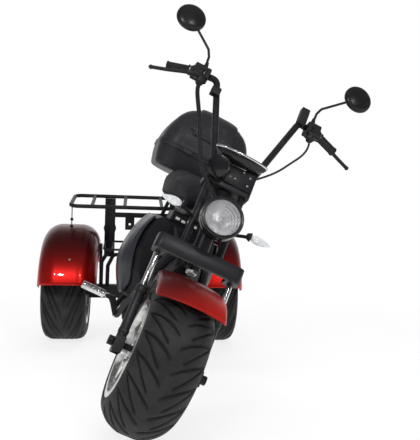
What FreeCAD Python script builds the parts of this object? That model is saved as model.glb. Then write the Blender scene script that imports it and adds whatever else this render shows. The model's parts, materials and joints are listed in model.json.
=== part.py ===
import FreeCAD, Part
import math
import os

# Electric three-wheeler whose front body leans over an upright rear unit.
# Units are millimetres. Front is -Y, up is +Z, +X is the rider's left.
# Pieces are drawn standing straight with the axles at AXLE_Z, then turned to the
# pose in which the vehicle parks: the body rests on its lean stop.

Vector = FreeCAD.Vector
Rotation = FreeCAD.Rotation
Placement = FreeCAD.Placement
ORIGIN = Vector(0, 0, 0)
SIDEWAYS = Vector(1, 0, 0)

# Driving dimensions
WHEELBASE = 1320.0
TRACK_HALF = 370.0
AXLE_Z = 238.5
TYRE_RADIUS = 238.5
LEAN_DEG = 25.0
STEER_DEG = -2.0
STEER_LIMIT_DEG = 35.0
RAKE_DEG = 22.0
TRAIL = 76.0
LEAN_AXIS_REAR_Z = 350.0
LEAN_AXIS_FRONT_Z = 140.0
SEAT_GAP = 0.3
RUNNING_FIT = 0.05
HINGE_GAP = 1.0

# Wheels
SIDEWALL = 78.5
BEAD_HEIGHT = 10.0
FRONT_CROWN = ((28.0, 0.0), (70.0, 16.5), (104.0, 51.5))
REAR_CROWN = ((62.0, 0.0), (94.0, 14.0), (106.0, 48.0))
RIM_FLANGE_RADIUS = TYRE_RADIUS - SIDEWALL
RIM_SEAT_RADIUS = RIM_FLANGE_RADIUS - BEAD_HEIGHT
RIM_WIDTH = 192.0
RIM_WALL = 9.0
FLANGE_THICKNESS = 7.0
HUB_RADIUS = 36.0
HUB_WIDTH = 178.0
HUB_FLANGE_RADIUS = 54.0
SPOKE_COUNT = 6
SPOKE_ROOT = 20.0
SPOKE_WAIST = 15.0
SPOKE_TIP = 25.0
SPOKE_DEPTH = 14.0
AXLE_RADIUS = 10.0
SPINDLE_RADIUS = 15.0
DISC_RADIUS = 100.0
DISC_THICKNESS = 4.0
DISC_BORE = 20.0

# Fork, measured along the fork legs from the front axle
LEG_HALF = 132.5
SLIDER_RADIUS = 16.0
SLIDER_TOP = 196.0
COLLAR_RADIUS = 19.0
COLLAR_HEIGHT = 26.0
STANCHION_RADIUS = 10.5
STANCHION_DEPTH = 60.0
BRIDGE_LOW = 322.0
BRIDGE_HIGH = 375.0
BRIDGE_HALF = 156.0
BRIDGE_FRONT = 50.0
BRIDGE_BACK = 24.0
BRIDGE_CORNER = 22.0
BRIDGE_WALL = 20.0
BRIDGE_WEB = 15.0
BRIDGE_POCKET_HALF = 108.0
UPPER_TUBE_HALF = 65.0
UPPER_TUBE_RADIUS = 13.0
TOP_CLAMP_S = 640.0
TOP_CLAMP_HEIGHT = 26.0
TOP_CLAMP_FRONT = 24.0
STEM_RADIUS = 14.0
STEM_BOSS_RADIUS = 24.0
STEM_NUT_RADIUS = 19.0
STEM_NUT_HEIGHT = 16.0
HEAD_TUBE_RADIUS = 28.0
HEAD_TUBE_GAP = 4.0

# Handlebar, in fork coordinates (sideways, forward, along the fork)
BAR_RADIUS = 12.5
BAR_CLAMP_S = 692.0
BAR_BEND = 34.0
RISER_TOP = (178.0, -42.0, 1052.0)
GRIP_IN = (284.0, -84.0, 1066.0)
GRIP_OUT = (366.0, -112.0, 1056.0)
GRIP_RADIUS = 16.5
POD_RADIUS = 24.0
POD_STUB_RADIUS = 15.0
POD_STUB_REACH = 70.0
CABLE_RADIUS = 6.0
HOSE_RADIUS = 4.0
MIRROR_RADIUS = 59.0
MIRROR_STEM_RADIUS = 5.0

# Front fender, an arc about the front hub
FRONT_FENDER_HALF = 118.0
FRONT_FENDER_GAP = 14.0
FRONT_FENDER_WALL = 3.0
FRONT_FENDER_CROWN = 14.0
FRONT_FENDER_START_DEG = 14.0
FRONT_FENDER_SWEEP_DEG = 46.0
BRACKET_WALL = 3.0

# Headlamp, dash and horn
LAMP_S = 468.0
LAMP_V = 100.0
LAMP_RADIUS = 71.0
LAMP_LENS_RADIUS = 60.0
LAMP_DEPTH = 92.0
LAMP_RIM = 18.0
LENS_DEPTH = 12.0
LENS_RISE = 8.0
GLAND_END = (-48.0, 78.0, 560.0)
GLAND_ROOT = (-14.0, 81.0, 529.0)
GLAND_RADIUS = 9.0
DASH_SIDE = 5.0
DASH_V = 44.0
DASH_S = 748.0
DASH_TILT_DEG = 30.0
DASH_HALF = 98.0
DASH_DEEP = 32.0
DASH_BOWL = ((46.0, 0.35), (34.0, 0.67), (16.0, 0.92), (0.0, 1.0))
BEZEL_HEIGHT = 8.0
BEZEL_WIDTH = 7.0
HORN_RADIUS = 38.0
HORN_DEPTH = 40.0

# Rear unit
BEAM_Z = AXLE_Z + 6.5
BEAM_HEIGHT = 66.0
BEAM_DEPTH = 60.0
BEAM_WHEEL_GAP = 23.0
BEAM_HALF = TRACK_HALF - HUB_WIDTH / 2 - BEAM_WHEEL_GAP
CASING_RADIUS = 84.0
CASING_HALF = 105.0
CASING_Y = 38.0
RACK_HALF = 350.0
RACK_FRONT_Y = -165.0
RACK_REAR_Y = 100.0
RACK_FRONT_Z = 677.0
RACK_REAR_Z = 727.0
RACK_TUBE = 9.5
RACK_BAR_HALF = 248.0
UPRIGHT_HALF = 169.0
UPRIGHT_WIDTH = 54.0
UPRIGHT_THICKNESS = 10.0
UPRIGHT_Y = 100.0
UPRIGHT_LOW_Z = 411.0
ARCH_TUBE = 10.0
ARCH_HIGH_Z = 447.0
ARCH_LOW_Z = 423.0
CROSSBAR_Z = 632.0
CROSSBAR_HEIGHT = 26.0
CROSSBAR_PROUD = 1.0
SHELF_FRONT_Y = -70.0
SHELF_FRONT_Z = 462.0
SHELF_REAR_Z = 492.0
SHELF_TUBE = 5.5
SHELF_SIDE_GAP = 18.0
STAY_RADIUS = 2.5
FENDER_INNER_X = TRACK_HALF - 157.0
FENDER_OUTER_X = TRACK_HALF + 116.0
FENDER_RADIUS = TYRE_RADIUS + 103.5
FENDER_CENTRE_Z = AXLE_Z + 1.5
FENDER_CORNER = 92.0
FENDER_WALL = 4.0
FENDER_FRONT_DEG = 77.0
FENDER_REAR_DEG = 66.0
FENDER_HEM_RADIUS = 200.0
PIVOT_REAR_Y = -62.0
PIVOT_MID_Y = -150.0
PIVOT_FRONT_Y = -300.0
PIVOT_SHAFT_RADIUS = 18.0
PIVOT_COLLAR_RADIUS = 38.0
PIVOT_HOUSING_RADIUS = 30.0
TOWER_HALF = 55.0
TOWER_CHEEK = 26.0
TOWER_CHEEK_WALL = 14.0
TOWER_BACK_WALL = 14.0

# Leaning body; stations run from its rear (0) to the frame's bend below the head (1)
BODY_REAR_Y = -300.0
BODY_FRONT_Y = -WHEELBASE + 420.0
BACKBONE_RADIUS = 24.0
BACKBONE_Z = 714.3
DOWN_TUBE_RADIUS = 13.5
DOWN_TUBE_BEND = 26.0
DOWN_TUBE_NOSE = ((14.0, 184.0, 598.0), (30.0, 212.0, 582.0), (68.0, 252.0, 540.0), (92.0, 280.0, 468.0))
DOWN_TUBE_BELLY = ((84.0, 0.767, 320.0), (92.0, 0.567, 200.0), (92.0, 0.233, 190.0), (70.0, 0.1, 230.0))
MAST_Y = -309.0
MAST_RADIUS = 20.0
SEAT_BAR_STATION = 0.34
SEAT_BAR_Z = 722.0
SEAT_BAR_HALF = 100.0
SEAT_BAR_RADIUS = 8.0
NOSE_RADIUS = 160.0
NOSE_WALL = 5.0
NOSE_LOW_Z = 402.0
NOSE_HIGH_Z = 552.0
NOSE_BULGE = 10.0
HULL_FLOOR_Z = 290.0
HULL_TOP_Z = 646.0
COVER_WALL = 14.0
COVER_HIGH_Z = 637.0
HULL_CORNER = 9.0
HULL_SECTIONS = (
    (0.075, (44.0, 310.0), (92.0, 360.0), (138.0, 424.0), (158.0, 480.0), (150.0, 566.0), (128.0, 632.0)),
    (0.25, (60.0, 240.0), (120.0, 300.0), (168.0, 384.0), (186.0, 458.0), (173.0, 560.0), (144.0, 632.0)),
    (0.567, (60.0, 232.0), (124.0, 291.0), (176.0, 376.0), (194.0, 452.0), (181.0, 556.0), (150.0, 632.0)),
    (0.733, (40.0, 300.0), (72.0, 352.0), (118.0, 408.0), (148.0, 500.0), (154.0, 572.0), (142.0, 632.0)),
)
BELLY_SECTIONS = (
    (58.0, 206.0, 0.253), (62.0, 190.0, 0.367), (62.0, 188.0, 0.567), (54.0, 222.0, 0.683),
)
HULL_NOSE_SECTIONS = ((64.0, 330.0, 640.0, 0.717), (56.0, 362.0, 620.0, 0.867), (46.0, 404.0, 590.0, 0.983))
COVER_OUTLINE = (
    (0.703, 640.0), (0.703, 404.0), (0.65, 328.0), (0.567, 290.0), (0.25, 294.0), (0.1, 396.0), (0.087, 640.0),
)
CONTROLLER_LEFT = 66.0
CONTROLLER_RIGHT = -78.0
CONTROLLER_HEIGHT = 42.0
SEAT_CORNER = 15.0
SEAT_SECTIONS = (
    (0.833, 70.0, 84.0, 60.0, 790.0, 822.0),
    (0.733, 92.0, 108.0, 84.0, 800.0, 838.0),
    (0.567, 116.0, 134.0, 104.0, 806.0, 852.0),
    (0.367, 128.0, 150.0, 116.0, 812.0, 868.0),
    (0.167, 126.0, 148.0, 114.0, 816.0, 878.0),
    (-0.042, 104.0, 124.0, 92.0, 818.0, 880.0),
)
CASE_HALF = 222.0
CASE_FRONT_Y = -250.0
CASE_REAR_Y = 140.0
CASE_LOW_Z = 866.0
CASE_SEAM_Z = 981.0
CASE_TOP_Z = 1212.0
CASE_WALL = 4.0
CASE_CORNER = 90.0
CASE_RIM = 5.0
CASE_RIM_HEIGHT = 14.0
CASE_PANEL = 6.0
CASE_PANEL_HALF = 118.0
CASE_PANEL_LOW_Z = 1085.0
CASE_LEVELS = (
    (0.0, 0.79), (0.066, 0.925), (0.185, 0.975), (0.29, 1.0), (0.37, 1.0), (0.543, 0.965),
    (0.676, 0.9), (0.798, 0.81), (0.9, 0.67), (0.97, 0.47), (1.0, 0.3),
)
CARRIER_HALF = 90.0
CARRIER_Y = -228.0
CARRIER_DEPTH = 148.0
CARRIER_THICKNESS = 12.0
RAIL_RADIUS = 16.0
HINGE_RADIUS = 5.0
PEG_STATION = 0.583
PEG_Z = 258.0
PEG_RADIUS = 15.0
PEG_LENGTH = 110.0
PEG_PIVOT_X = 160.0
PEG_EYE_RADIUS = 9.0
PEG_EYE_HALF = 7.0
PEG_EAR_WALL = 6.0


def make_box(x0, x1, y0, y1, z0, z1):
    return Part.makeBox(x1 - x0, y1 - y0, z1 - z0, Vector(x0, y0, z0))


def rounded_box(x0, x1, y0, y1, z0, z1, radius):
    solid = make_box(x0, x1, y0, y1, z0, z1)
    return solid.makeFillet(radius, solid.Edges)


def upright_edges(solid):
    return [edge for edge in solid.Edges if abs(edge.Vertexes[0].Z - edge.Vertexes[-1].Z) > 1.0]


def rod(start, end, radius):
    run = end - start
    return Part.makeCylinder(radius, run.Length, start, run)


def line_edge(start, end):
    return Part.LineSegment(start, end).toShape()


def arc_edge(start, middle, end):
    return Part.Arc(start, middle, end).toShape()


def step_off(before, corner, after, bend):
    """Where a rounded corner leaves its two sides, and its crown, as offsets from the corner."""
    back = (before - corner).normalize()
    ahead = (after - corner).normalize()
    half_turn = (math.pi - back.getAngle(ahead)) / 2
    reach = bend * math.tan(half_turn)
    inward = (back + ahead).normalize() * (bend / math.cos(half_turn) - bend)
    return back * reach, ahead * reach, inward


def sweep_round(edges, start, towards, radius):
    section = Part.Circle(start, towards - start, radius)
    return Part.Wire(edges).makePipeShell([Part.Wire([section.toShape()])], True, False)


def bent_tube(points, bend, radius):
    """A round bar along straight runs joined by tangent arcs."""
    edges = []
    start = points[0]
    for before, corner, after in zip(points, points[1:], points[2:]):
        back, ahead, crown = step_off(before, corner, after, bend)
        edges.append(line_edge(start, corner + back))
        edges.append(arc_edge(corner + back, corner + crown, corner + ahead))
        start = corner + ahead
    edges.append(line_edge(start, points[-1]))
    return sweep_round(edges, points[0], points[1], radius)


def closed_hoop(corners, bend, radius):
    """A round bar bent into a closed flat loop through the given corners."""
    middle = (corners[0] + corners[-1]) * 0.5
    ring = [middle] + list(corners) + [middle]
    edges = []
    start = middle
    for before, corner, after in zip(ring, ring[1:], ring[2:]):
        back, ahead, crown = step_off(before, corner, after, bend)
        edges.append(line_edge(start, corner + back))
        edges.append(arc_edge(corner + back, corner + crown, corner + ahead))
        start = corner + ahead
    edges.append(line_edge(start, middle))
    return sweep_round(edges, middle, corners[0], radius)


def cord_bend(before, corner, after):
    """The widest bend that a corner's two runs allow, with a stretch left straight."""
    back = before - corner
    ahead = after - corner
    half_turn = (math.pi - back.getAngle(ahead)) / 2
    return 0.45 * min(back.Length, ahead.Length) / math.tan(half_turn)


def cord_tube(points, radius):
    """A flexible round line whose bends are as wide as its runs allow."""
    edges = []
    start = points[0]
    for before, corner, after in zip(points, points[1:], points[2:]):
        back, ahead, crown = step_off(before, corner, after, cord_bend(before, corner, after))
        edges.append(line_edge(start, corner + back))
        edges.append(arc_edge(corner + back, corner + crown, corner + ahead))
        start = corner + ahead
    edges.append(line_edge(start, points[-1]))
    return sweep_round(edges, points[0], points[1], radius)


def cord_bends(points):
    """The bend at each corner of a cord's route, in order."""
    return [round(cord_bend(*three), 1) for three in zip(points, points[1:], points[2:])]


def rounded_ring(corners, bend):
    """A closed flat wire through the given corners, each rounded to the same radius."""
    edges = []
    count = len(corners)
    for index in range(count):
        before, corner, after = corners[index - 1], corners[index], corners[(index + 1) % count]
        beyond = corners[(index + 2) % count]
        back, ahead, crown = step_off(before, corner, after, bend)
        end = after + step_off(corner, after, beyond, bend)[0]
        edges.append(arc_edge(corner + back, corner + crown, corner + ahead))
        edges.append(line_edge(corner + ahead, end))
    return Part.Wire(edges)


def mirrored_ring(right_side, bend):
    """A ring that is the same on both sides, from the points of its +X side, lowest first."""
    left_side = [Vector(-point.x, point.y, point.z) for point in reversed(right_side)]
    return rounded_ring(right_side + left_side, bend)


def polygon_face(points):
    return Part.Face(Part.makePolygon(list(points) + [points[0]]))


def box_outline(half_width, low_z, high_z, y, corner):
    """A closed outline in a plane of constant Y, with round corners."""
    corner = min(corner, half_width * 0.98, (high_z - low_z) * 0.49)
    return mirrored_ring([Vector(half_width, y, low_z), Vector(half_width, y, high_z)], corner)


def smooth_loft(wires):
    return Part.makeLoft(wires, True, False)


def compound(shapes):
    return Part.makeCompound(shapes)


def fuse_all(shapes):
    return shapes[0].multiFuse(shapes[1:]).removeSplitter()


def mirror_x(shape):
    return shape.mirror(ORIGIN, SIDEWAYS)


def both_sides(shape):
    return compound([shape, mirror_x(shape)])


def placed(shape, place):
    shape.Placement = place.multiply(shape.Placement)
    return shape


def fork_point(side, forward, up):
    """A point in fork coordinates: the fork's front is -Y and its legs rise along Z."""
    return Vector(side, -forward, up)


def station(share):
    """The Y of a place along the leaning body, 0 at its rear and 1 at its front."""
    return BODY_REAR_Y + (BODY_FRONT_Y - BODY_REAR_Y) * share


# Placement of the leaning, steered parts
RAKE = math.radians(RAKE_DEG)
HUB = Vector(0, -WHEELBASE, AXLE_Z)
STEER_OFFSET = AXLE_Z * math.sin(RAKE) - TRAIL * math.cos(RAKE)
FORK_FRAME = Placement(HUB, Rotation(SIDEWAYS, -RAKE_DEG))
STEER_AXIS_DIR = Vector(0, math.sin(RAKE), math.cos(RAKE))
STEER_AXIS_POINT = FORK_FRAME.multVec(fork_point(0, -STEER_OFFSET, 0))
LEAN_AXIS_REAR = Vector(0, 0, LEAN_AXIS_REAR_Z)
LEAN_AXIS_FRONT = Vector(0, -WHEELBASE, LEAN_AXIS_FRONT_Z)
LEAN_AXIS_DIR = (LEAN_AXIS_FRONT - LEAN_AXIS_REAR).normalize()


def turned_about(point, direction, degrees):
    turn = Placement(ORIGIN, Rotation(direction, degrees))
    there = Placement(point, Rotation())
    return there.multiply(turn).multiply(there.inverse())


def lean_axis_at(y):
    share = -y / WHEELBASE
    return Vector(0, y, LEAN_AXIS_REAR_Z + (LEAN_AXIS_FRONT_Z - LEAN_AXIS_REAR_Z) * share)


def steer_axis_at(along):
    """A point on the steering axis, in the straight frame."""
    return STEER_AXIS_POINT + STEER_AXIS_DIR * along


LEAN_TURN = turned_about(LEAN_AXIS_REAR, LEAN_AXIS_DIR, -LEAN_DEG)
STEER_TURN = turned_about(STEER_AXIS_POINT, STEER_AXIS_DIR, STEER_DEG)


def body_rise():
    """How far the leaning body rises so that the lowest ring of its tyre touches the floor."""
    turned = LEAN_TURN.multiply(STEER_TURN)
    tilt = abs(turned.Rotation.multVec(SIDEWAYS).z)
    upright = math.sqrt(1 - tilt ** 2)
    reach = max((TYRE_RADIUS - drop) * upright + half * tilt for half, drop in FRONT_CROWN)
    return reach - turned.multVec(HUB).z


REAR_RISE = TYRE_RADIUS - AXLE_Z
BODY_RISE = body_rise()
REAR_PLACE = Placement(Vector(0, 0, REAR_RISE), Rotation())
BODY_PLACE = Placement(Vector(0, 0, BODY_RISE), Rotation()).multiply(LEAN_TURN)
FORK_PLACE = BODY_PLACE.multiply(STEER_TURN).multiply(FORK_FRAME)


def rear_lean_axis_at(y):
    """A point on the lean axis, where the rear unit's shaft carries the body."""
    return lean_axis_at(y) + Vector(0, 0, BODY_RISE - REAR_RISE)


# Wheels, centred on the origin with the axle along X
def make_tyre(crown):
    bead = RIM_WIDTH / 2 - SEAT_GAP
    outline = [Vector(half, 0, TYRE_RADIUS - drop) for half, drop in crown]
    outline.append(Vector(bead, 0, RIM_FLANGE_RADIUS + SEAT_GAP))
    outline.append(Vector(bead, 0, RIM_SEAT_RADIUS + SEAT_GAP))
    outline += [Vector(-point.x, 0, point.z) for point in reversed(outline)]
    return polygon_face(outline).revolve(ORIGIN, SIDEWAYS, 360)


def make_rim(bore_radius):
    half = RIM_WIDTH / 2
    inner = RIM_SEAT_RADIUS - RIM_WALL
    flange = half + FLANGE_THICKNESS
    outline = [
        Vector(flange, 0, inner), Vector(flange, 0, RIM_FLANGE_RADIUS),
        Vector(half, 0, RIM_FLANGE_RADIUS), Vector(half, 0, RIM_SEAT_RADIUS),
    ]
    outline += [Vector(-point.x, 0, point.z) for point in reversed(outline)]
    barrel = polygon_face(outline).revolve(ORIGIN, SIDEWAYS, 360)
    hub = rod(Vector(-HUB_WIDTH / 2, 0, 0), Vector(HUB_WIDTH / 2, 0, 0), HUB_RADIUS)
    tip = inner + RIM_WALL / 2
    waist = (HUB_RADIUS + inner) / 2
    pieces = [barrel, hub]
    for face in (-HUB_WIDTH / 2, HUB_WIDTH / 2 - SPOKE_DEPTH):
        pieces.append(rod(Vector(face, 0, 0), Vector(face + SPOKE_DEPTH, 0, 0), HUB_FLANGE_RADIUS))
        blade = polygon_face([
            Vector(face, -SPOKE_ROOT, HUB_RADIUS * 0.6), Vector(face, SPOKE_ROOT, HUB_RADIUS * 0.6),
            Vector(face, SPOKE_WAIST, waist), Vector(face, SPOKE_TIP, tip),
            Vector(face, -SPOKE_TIP, tip), Vector(face, -SPOKE_WAIST, waist),
        ]).extrude(Vector(SPOKE_DEPTH, 0, 0))
        for index in range(SPOKE_COUNT):
            spoke = blade.copy()
            spoke.rotate(ORIGIN, SIDEWAYS, 360.0 / SPOKE_COUNT * index)
            pieces.append(spoke)
    reach = Vector(flange, 0, 0)
    return fuse_all(pieces).cut(rod(reach * -1, reach, bore_radius + RUNNING_FIT))


def make_disc():
    start = Vector(HUB_WIDTH / 2 + SEAT_GAP, 0, 0)
    end = start + Vector(DISC_THICKNESS, 0, 0)
    return rod(start, end, DISC_RADIUS).cut(rod(start, end, DISC_BORE))


# Rear unit, which stays upright
def axle_beam():
    beam = make_box(
        -BEAM_HALF, BEAM_HALF, -BEAM_DEPTH / 2, BEAM_DEPTH / 2,
        BEAM_Z - BEAM_HEIGHT / 2, BEAM_Z + BEAM_HEIGHT / 2,
    )
    beam = beam.makeFillet(8.0, [edge for edge in beam.Edges if edge.Length > BEAM_HALF])
    tip = TRACK_HALF + HUB_WIDTH / 2 + 14.0
    spindle = rod(Vector(-tip, 0, AXLE_Z), Vector(tip, 0, AXLE_Z), SPINDLE_RADIUS)
    return fuse_all([beam, spindle])


def drive_casing():
    """A round motor and gear casing, with cooling ribs, hung behind the beam."""
    left = Vector(-CASING_HALF, CASING_Y, BEAM_Z - 6.0)
    right = Vector(CASING_HALF, CASING_Y, BEAM_Z - 6.0)
    casing = rod(left, right, CASING_RADIUS)
    casing = casing.makeFillet(14.0, casing.Edges[:1] + casing.Edges[2:])
    ribs = [
        rod(left + Vector(along, 0, 0), left + Vector(along + 5.0, 0, 0), CASING_RADIUS + 4.0)
        for along in (50.0, 80.0, 110.0, 140.0)
    ]
    around = make_box(
        -BEAM_HALF, BEAM_HALF, -CASING_RADIUS * 2, BEAM_DEPTH / 2 + SEAT_GAP,
        BEAM_Z - BEAM_HEIGHT / 2 - SEAT_GAP, BEAM_Z + BEAM_HEIGHT / 2 + SEAT_GAP,
    )
    ahead = make_box(
        -BEAM_HALF, BEAM_HALF, -CASING_RADIUS * 2, -BEAM_DEPTH / 2 - SEAT_GAP,
        BEAM_Z - CASING_RADIUS * 2, BEAM_Z + CASING_RADIUS * 2,
    )
    return fuse_all([casing] + ribs).cut(around).cut(ahead)


def pivot_tower():
    """Two cheeks and a back plate on the beam, and the shaft on which the body leans."""
    beam_front = -BEAM_DEPTH / 2 - SEAT_GAP
    foot = BEAM_Z - BEAM_HEIGHT / 2
    top = rear_lean_axis_at(0).z
    cheek = polygon_face([
        Vector(TOWER_CHEEK, beam_front, foot), Vector(TOWER_CHEEK, PIVOT_REAR_Y - 30.0, foot),
        Vector(TOWER_CHEEK, PIVOT_MID_Y, top - 95.0), Vector(TOWER_CHEEK, PIVOT_MID_Y, top + 20.0),
        Vector(TOWER_CHEEK, beam_front, top + 34.0),
    ]).extrude(Vector(TOWER_CHEEK_WALL, 0, 0))
    back = make_box(
        -TOWER_HALF, TOWER_HALF, beam_front - TOWER_BACK_WALL, beam_front, foot, top + 34.0,
    )
    sill = make_box(-TOWER_HALF, TOWER_HALF, PIVOT_REAR_Y - 30.0, beam_front, foot, foot + 12.0)
    mid = rear_lean_axis_at(PIVOT_MID_Y - 22.0)
    collar = rod(rear_lean_axis_at(PIVOT_REAR_Y), mid, PIVOT_COLLAR_RADIUS)
    shaft = rod(rear_lean_axis_at(PIVOT_REAR_Y), rear_lean_axis_at(PIVOT_FRONT_Y), PIVOT_SHAFT_RADIUS)
    return fuse_all([back, cheek, mirror_x(cheek), sill, collar, shaft])


def frame_arches():
    """Bent tubes that rise from the beam and carry the rack's uprights and the fenders."""
    beam_top = BEAM_Z + BEAM_HEIGHT / 2
    face = UPRIGHT_Y - UPRIGHT_THICKNESS / 2 - SEAT_GAP
    outer_x = FENDER_INNER_X - SEAT_GAP - ARCH_TUBE
    outer = bent_tube([
        Vector(UPRIGHT_HALF, face, ARCH_HIGH_Z), Vector(UPRIGHT_HALF, face - 36.7, ARCH_HIGH_Z),
        Vector(outer_x, 14.0, ARCH_HIGH_Z - 55.0), Vector(outer_x, 0.0, beam_top + 62.0),
        Vector(outer_x, 0.0, beam_top),
    ], 24.0, ARCH_TUBE)
    inner_x = UPRIGHT_HALF + 2.0
    bar_y = face - ARCH_TUBE
    inner = bent_tube([
        Vector(0, bar_y, ARCH_LOW_Z), Vector(inner_x - 26.0, bar_y, ARCH_LOW_Z),
        Vector(inner_x, 20.0, ARCH_LOW_Z - 51.0), Vector(inner_x, 0.0, beam_top + 52.0),
        Vector(inner_x, 0.0, beam_top),
    ], 22.0, ARCH_TUBE)
    plate = make_box(
        outer_x - 3.0, FENDER_INNER_X - SEAT_GAP, -22.0, 22.0,
        beam_top + 82.0, FENDER_CENTRE_Z + FENDER_HEM_RADIUS + 46.0,
    )
    half = fuse_all([outer, inner, plate])
    return fuse_all([half, mirror_x(half)])


def rack_point(x, y):
    share = (y - RACK_FRONT_Y) / (RACK_REAR_Y - RACK_FRONT_Y)
    return Vector(x, y, RACK_FRONT_Z + (RACK_REAR_Z - RACK_FRONT_Z) * share)


def rack():
    hoop = closed_hoop([
        rack_point(-RACK_HALF, RACK_FRONT_Y), rack_point(-RACK_HALF, RACK_REAR_Y),
        rack_point(RACK_HALF, RACK_REAR_Y), rack_point(RACK_HALF, RACK_FRONT_Y),
    ], 36.0, RACK_TUBE)
    bars = [
        rod(rack_point(x, RACK_FRONT_Y), rack_point(x, RACK_REAR_Y), RACK_TUBE - 1.0)
        for x in (-RACK_BAR_HALF, -RACK_BAR_HALF / 2.75, RACK_BAR_HALF / 2.75, RACK_BAR_HALF)
    ]
    return fuse_all([hoop] + bars)


def rack_uprights():
    """Two flat uprights and their cross bar, which carry the rack."""
    back = UPRIGHT_Y + UPRIGHT_THICKNESS / 2
    pieces = [make_box(
        -UPRIGHT_HALF, UPRIGHT_HALF, back - UPRIGHT_THICKNESS, back + CROSSBAR_PROUD,
        CROSSBAR_Z - CROSSBAR_HEIGHT / 2, CROSSBAR_Z + CROSSBAR_HEIGHT / 2,
    )]
    for side in (-1, 1):
        x = side * UPRIGHT_HALF
        pieces.append(make_box(
            x - UPRIGHT_WIDTH / 2, x + UPRIGHT_WIDTH / 2, back - UPRIGHT_THICKNESS, back,
            UPRIGHT_LOW_Z, RACK_REAR_Z - RACK_TUBE - SEAT_GAP,
        ))
        lug_x = side * UPRIGHT_HALF * 0.39
        lug = rounded_box(
            lug_x - 24.0, lug_x + 24.0, back - 8.0, back, CROSSBAR_Z - 78.0, CROSSBAR_Z - 6.0, 3.0,
        )
        eye = Vector(lug_x, back, CROSSBAR_Z - 48.0)
        pieces.append(lug.cut(rod(eye - Vector(0, 40.0, 0), eye + Vector(0, 40.0, 0), 6.0)))
    return fuse_all(pieces)


def lower_shelf():
    half = FENDER_INNER_X - SHELF_SIDE_GAP - SHELF_TUBE
    rear_y = UPRIGHT_Y - UPRIGHT_THICKNESS / 2 - SHELF_TUBE - SEAT_GAP
    hoop = closed_hoop([
        Vector(-half, SHELF_FRONT_Y, SHELF_FRONT_Z), Vector(-half, rear_y, SHELF_REAR_Z),
        Vector(half, rear_y, SHELF_REAR_Z), Vector(half, SHELF_FRONT_Y, SHELF_FRONT_Z),
    ], 22.0, SHELF_TUBE)
    bars = [
        rod(Vector(x, SHELF_FRONT_Y, SHELF_FRONT_Z), Vector(x, rear_y, SHELF_REAR_Z), SHELF_TUBE - 1.0)
        for x in (-half * 0.79, -half * 0.264, half * 0.264, half * 0.79)
    ]
    return fuse_all([hoop] + bars)


def fender_profile(inset):
    inner = FENDER_INNER_X + inset
    outer = FENDER_OUTER_X - inset
    top = FENDER_RADIUS - inset
    corner = FENDER_CORNER - inset
    bow = corner * (1 - math.sqrt(0.5))
    hem = FENDER_HEM_RADIUS
    return Part.Face(Part.Wire([
        line_edge(Vector(inner, 0, hem), Vector(inner, 0, top - corner)),
        arc_edge(Vector(inner, 0, top - corner), Vector(inner + bow, 0, top - bow),
                 Vector(inner + corner, 0, top)),
        line_edge(Vector(inner + corner, 0, top), Vector(outer - corner, 0, top)),
        arc_edge(Vector(outer - corner, 0, top), Vector(outer - bow, 0, top - bow),
                 Vector(outer, 0, top - corner)),
        line_edge(Vector(outer, 0, top - corner), Vector(outer, 0, hem)),
        line_edge(Vector(outer, 0, hem), Vector(inner, 0, hem)),
    ]))


def make_fender():
    """A hood of rounded-box section carried round the wheel."""
    skin = fender_profile(0.0).cut(fender_profile(FENDER_WALL))
    shell = skin.revolve(ORIGIN, SIDEWAYS, -FENDER_FRONT_DEG - FENDER_REAR_DEG)
    shell.rotate(ORIGIN, SIDEWAYS, FENDER_FRONT_DEG)
    shell.translate(Vector(0, 0, FENDER_CENTRE_Z))
    return shell


def fender_stays():
    """Thin stays with a knob between the rack's sides and the tops of the fenders."""
    foot_y = RACK_FRONT_Y + 96.0
    rise = math.sqrt(FENDER_RADIUS ** 2 - foot_y ** 2)
    pieces = []
    for side in (-1, 1):
        rail = rack_point(side * RACK_HALF, foot_y)
        foot = Vector(side * RACK_HALF, foot_y, FENDER_CENTRE_Z + rise - 3.0)
        pieces.append(fuse_all([
            rod(foot, rail, STAY_RADIUS),
            rod(foot, foot + Vector(0, 0, 8.0), 8.0),
            Part.makeSphere(8.0, foot + (rail - foot) * 0.3),
            rod(rail - Vector(0, 0, 20.0), rail, 6.0),
        ]))
    reach = Vector(FENDER_OUTER_X, 0, 0)
    centre = Vector(0, 0, FENDER_CENTRE_Z)
    crown = rod(centre - reach, centre + reach, FENDER_RADIUS + SEAT_GAP)
    rails = [
        rod(rack_point(side * RACK_HALF, RACK_FRONT_Y), rack_point(side * RACK_HALF, RACK_REAR_Y),
            RACK_TUBE + SEAT_GAP)
        for side in (-1, 1)
    ]
    return compound(pieces).cut(crown).cut(compound(rails))


def tail_lamps():
    lamps = []
    for side in (-1, 1):
        centre = Vector(side * UPRIGHT_HALF, UPRIGHT_Y + UPRIGHT_THICKNESS / 2 + SEAT_GAP, 560.0)
        lamp = rod(centre, centre + Vector(0, 26.0, 0), 32.0)
        lamps.append(lamp.makeFillet(6.0, lamp.Edges[:1]))
    return compound(lamps)


# Leaning body
def down_tube(radius):
    """The left one of the two tubes that run from the head, down the nose, to the mast."""
    points = [Vector(half, -WHEELBASE + back, z) for half, back, z in DOWN_TUBE_NOSE]
    points += [Vector(half, station(share), z) for half, share, z in DOWN_TUBE_BELLY]
    points.append(lean_axis_at(MAST_Y) + Vector(MAST_RADIUS * 0.7, -MAST_RADIUS * 0.5, 0))
    return bent_tube(points, DOWN_TUBE_BEND, radius)


def mast_top():
    return Vector(0, MAST_Y, BACKBONE_Z)


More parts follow.
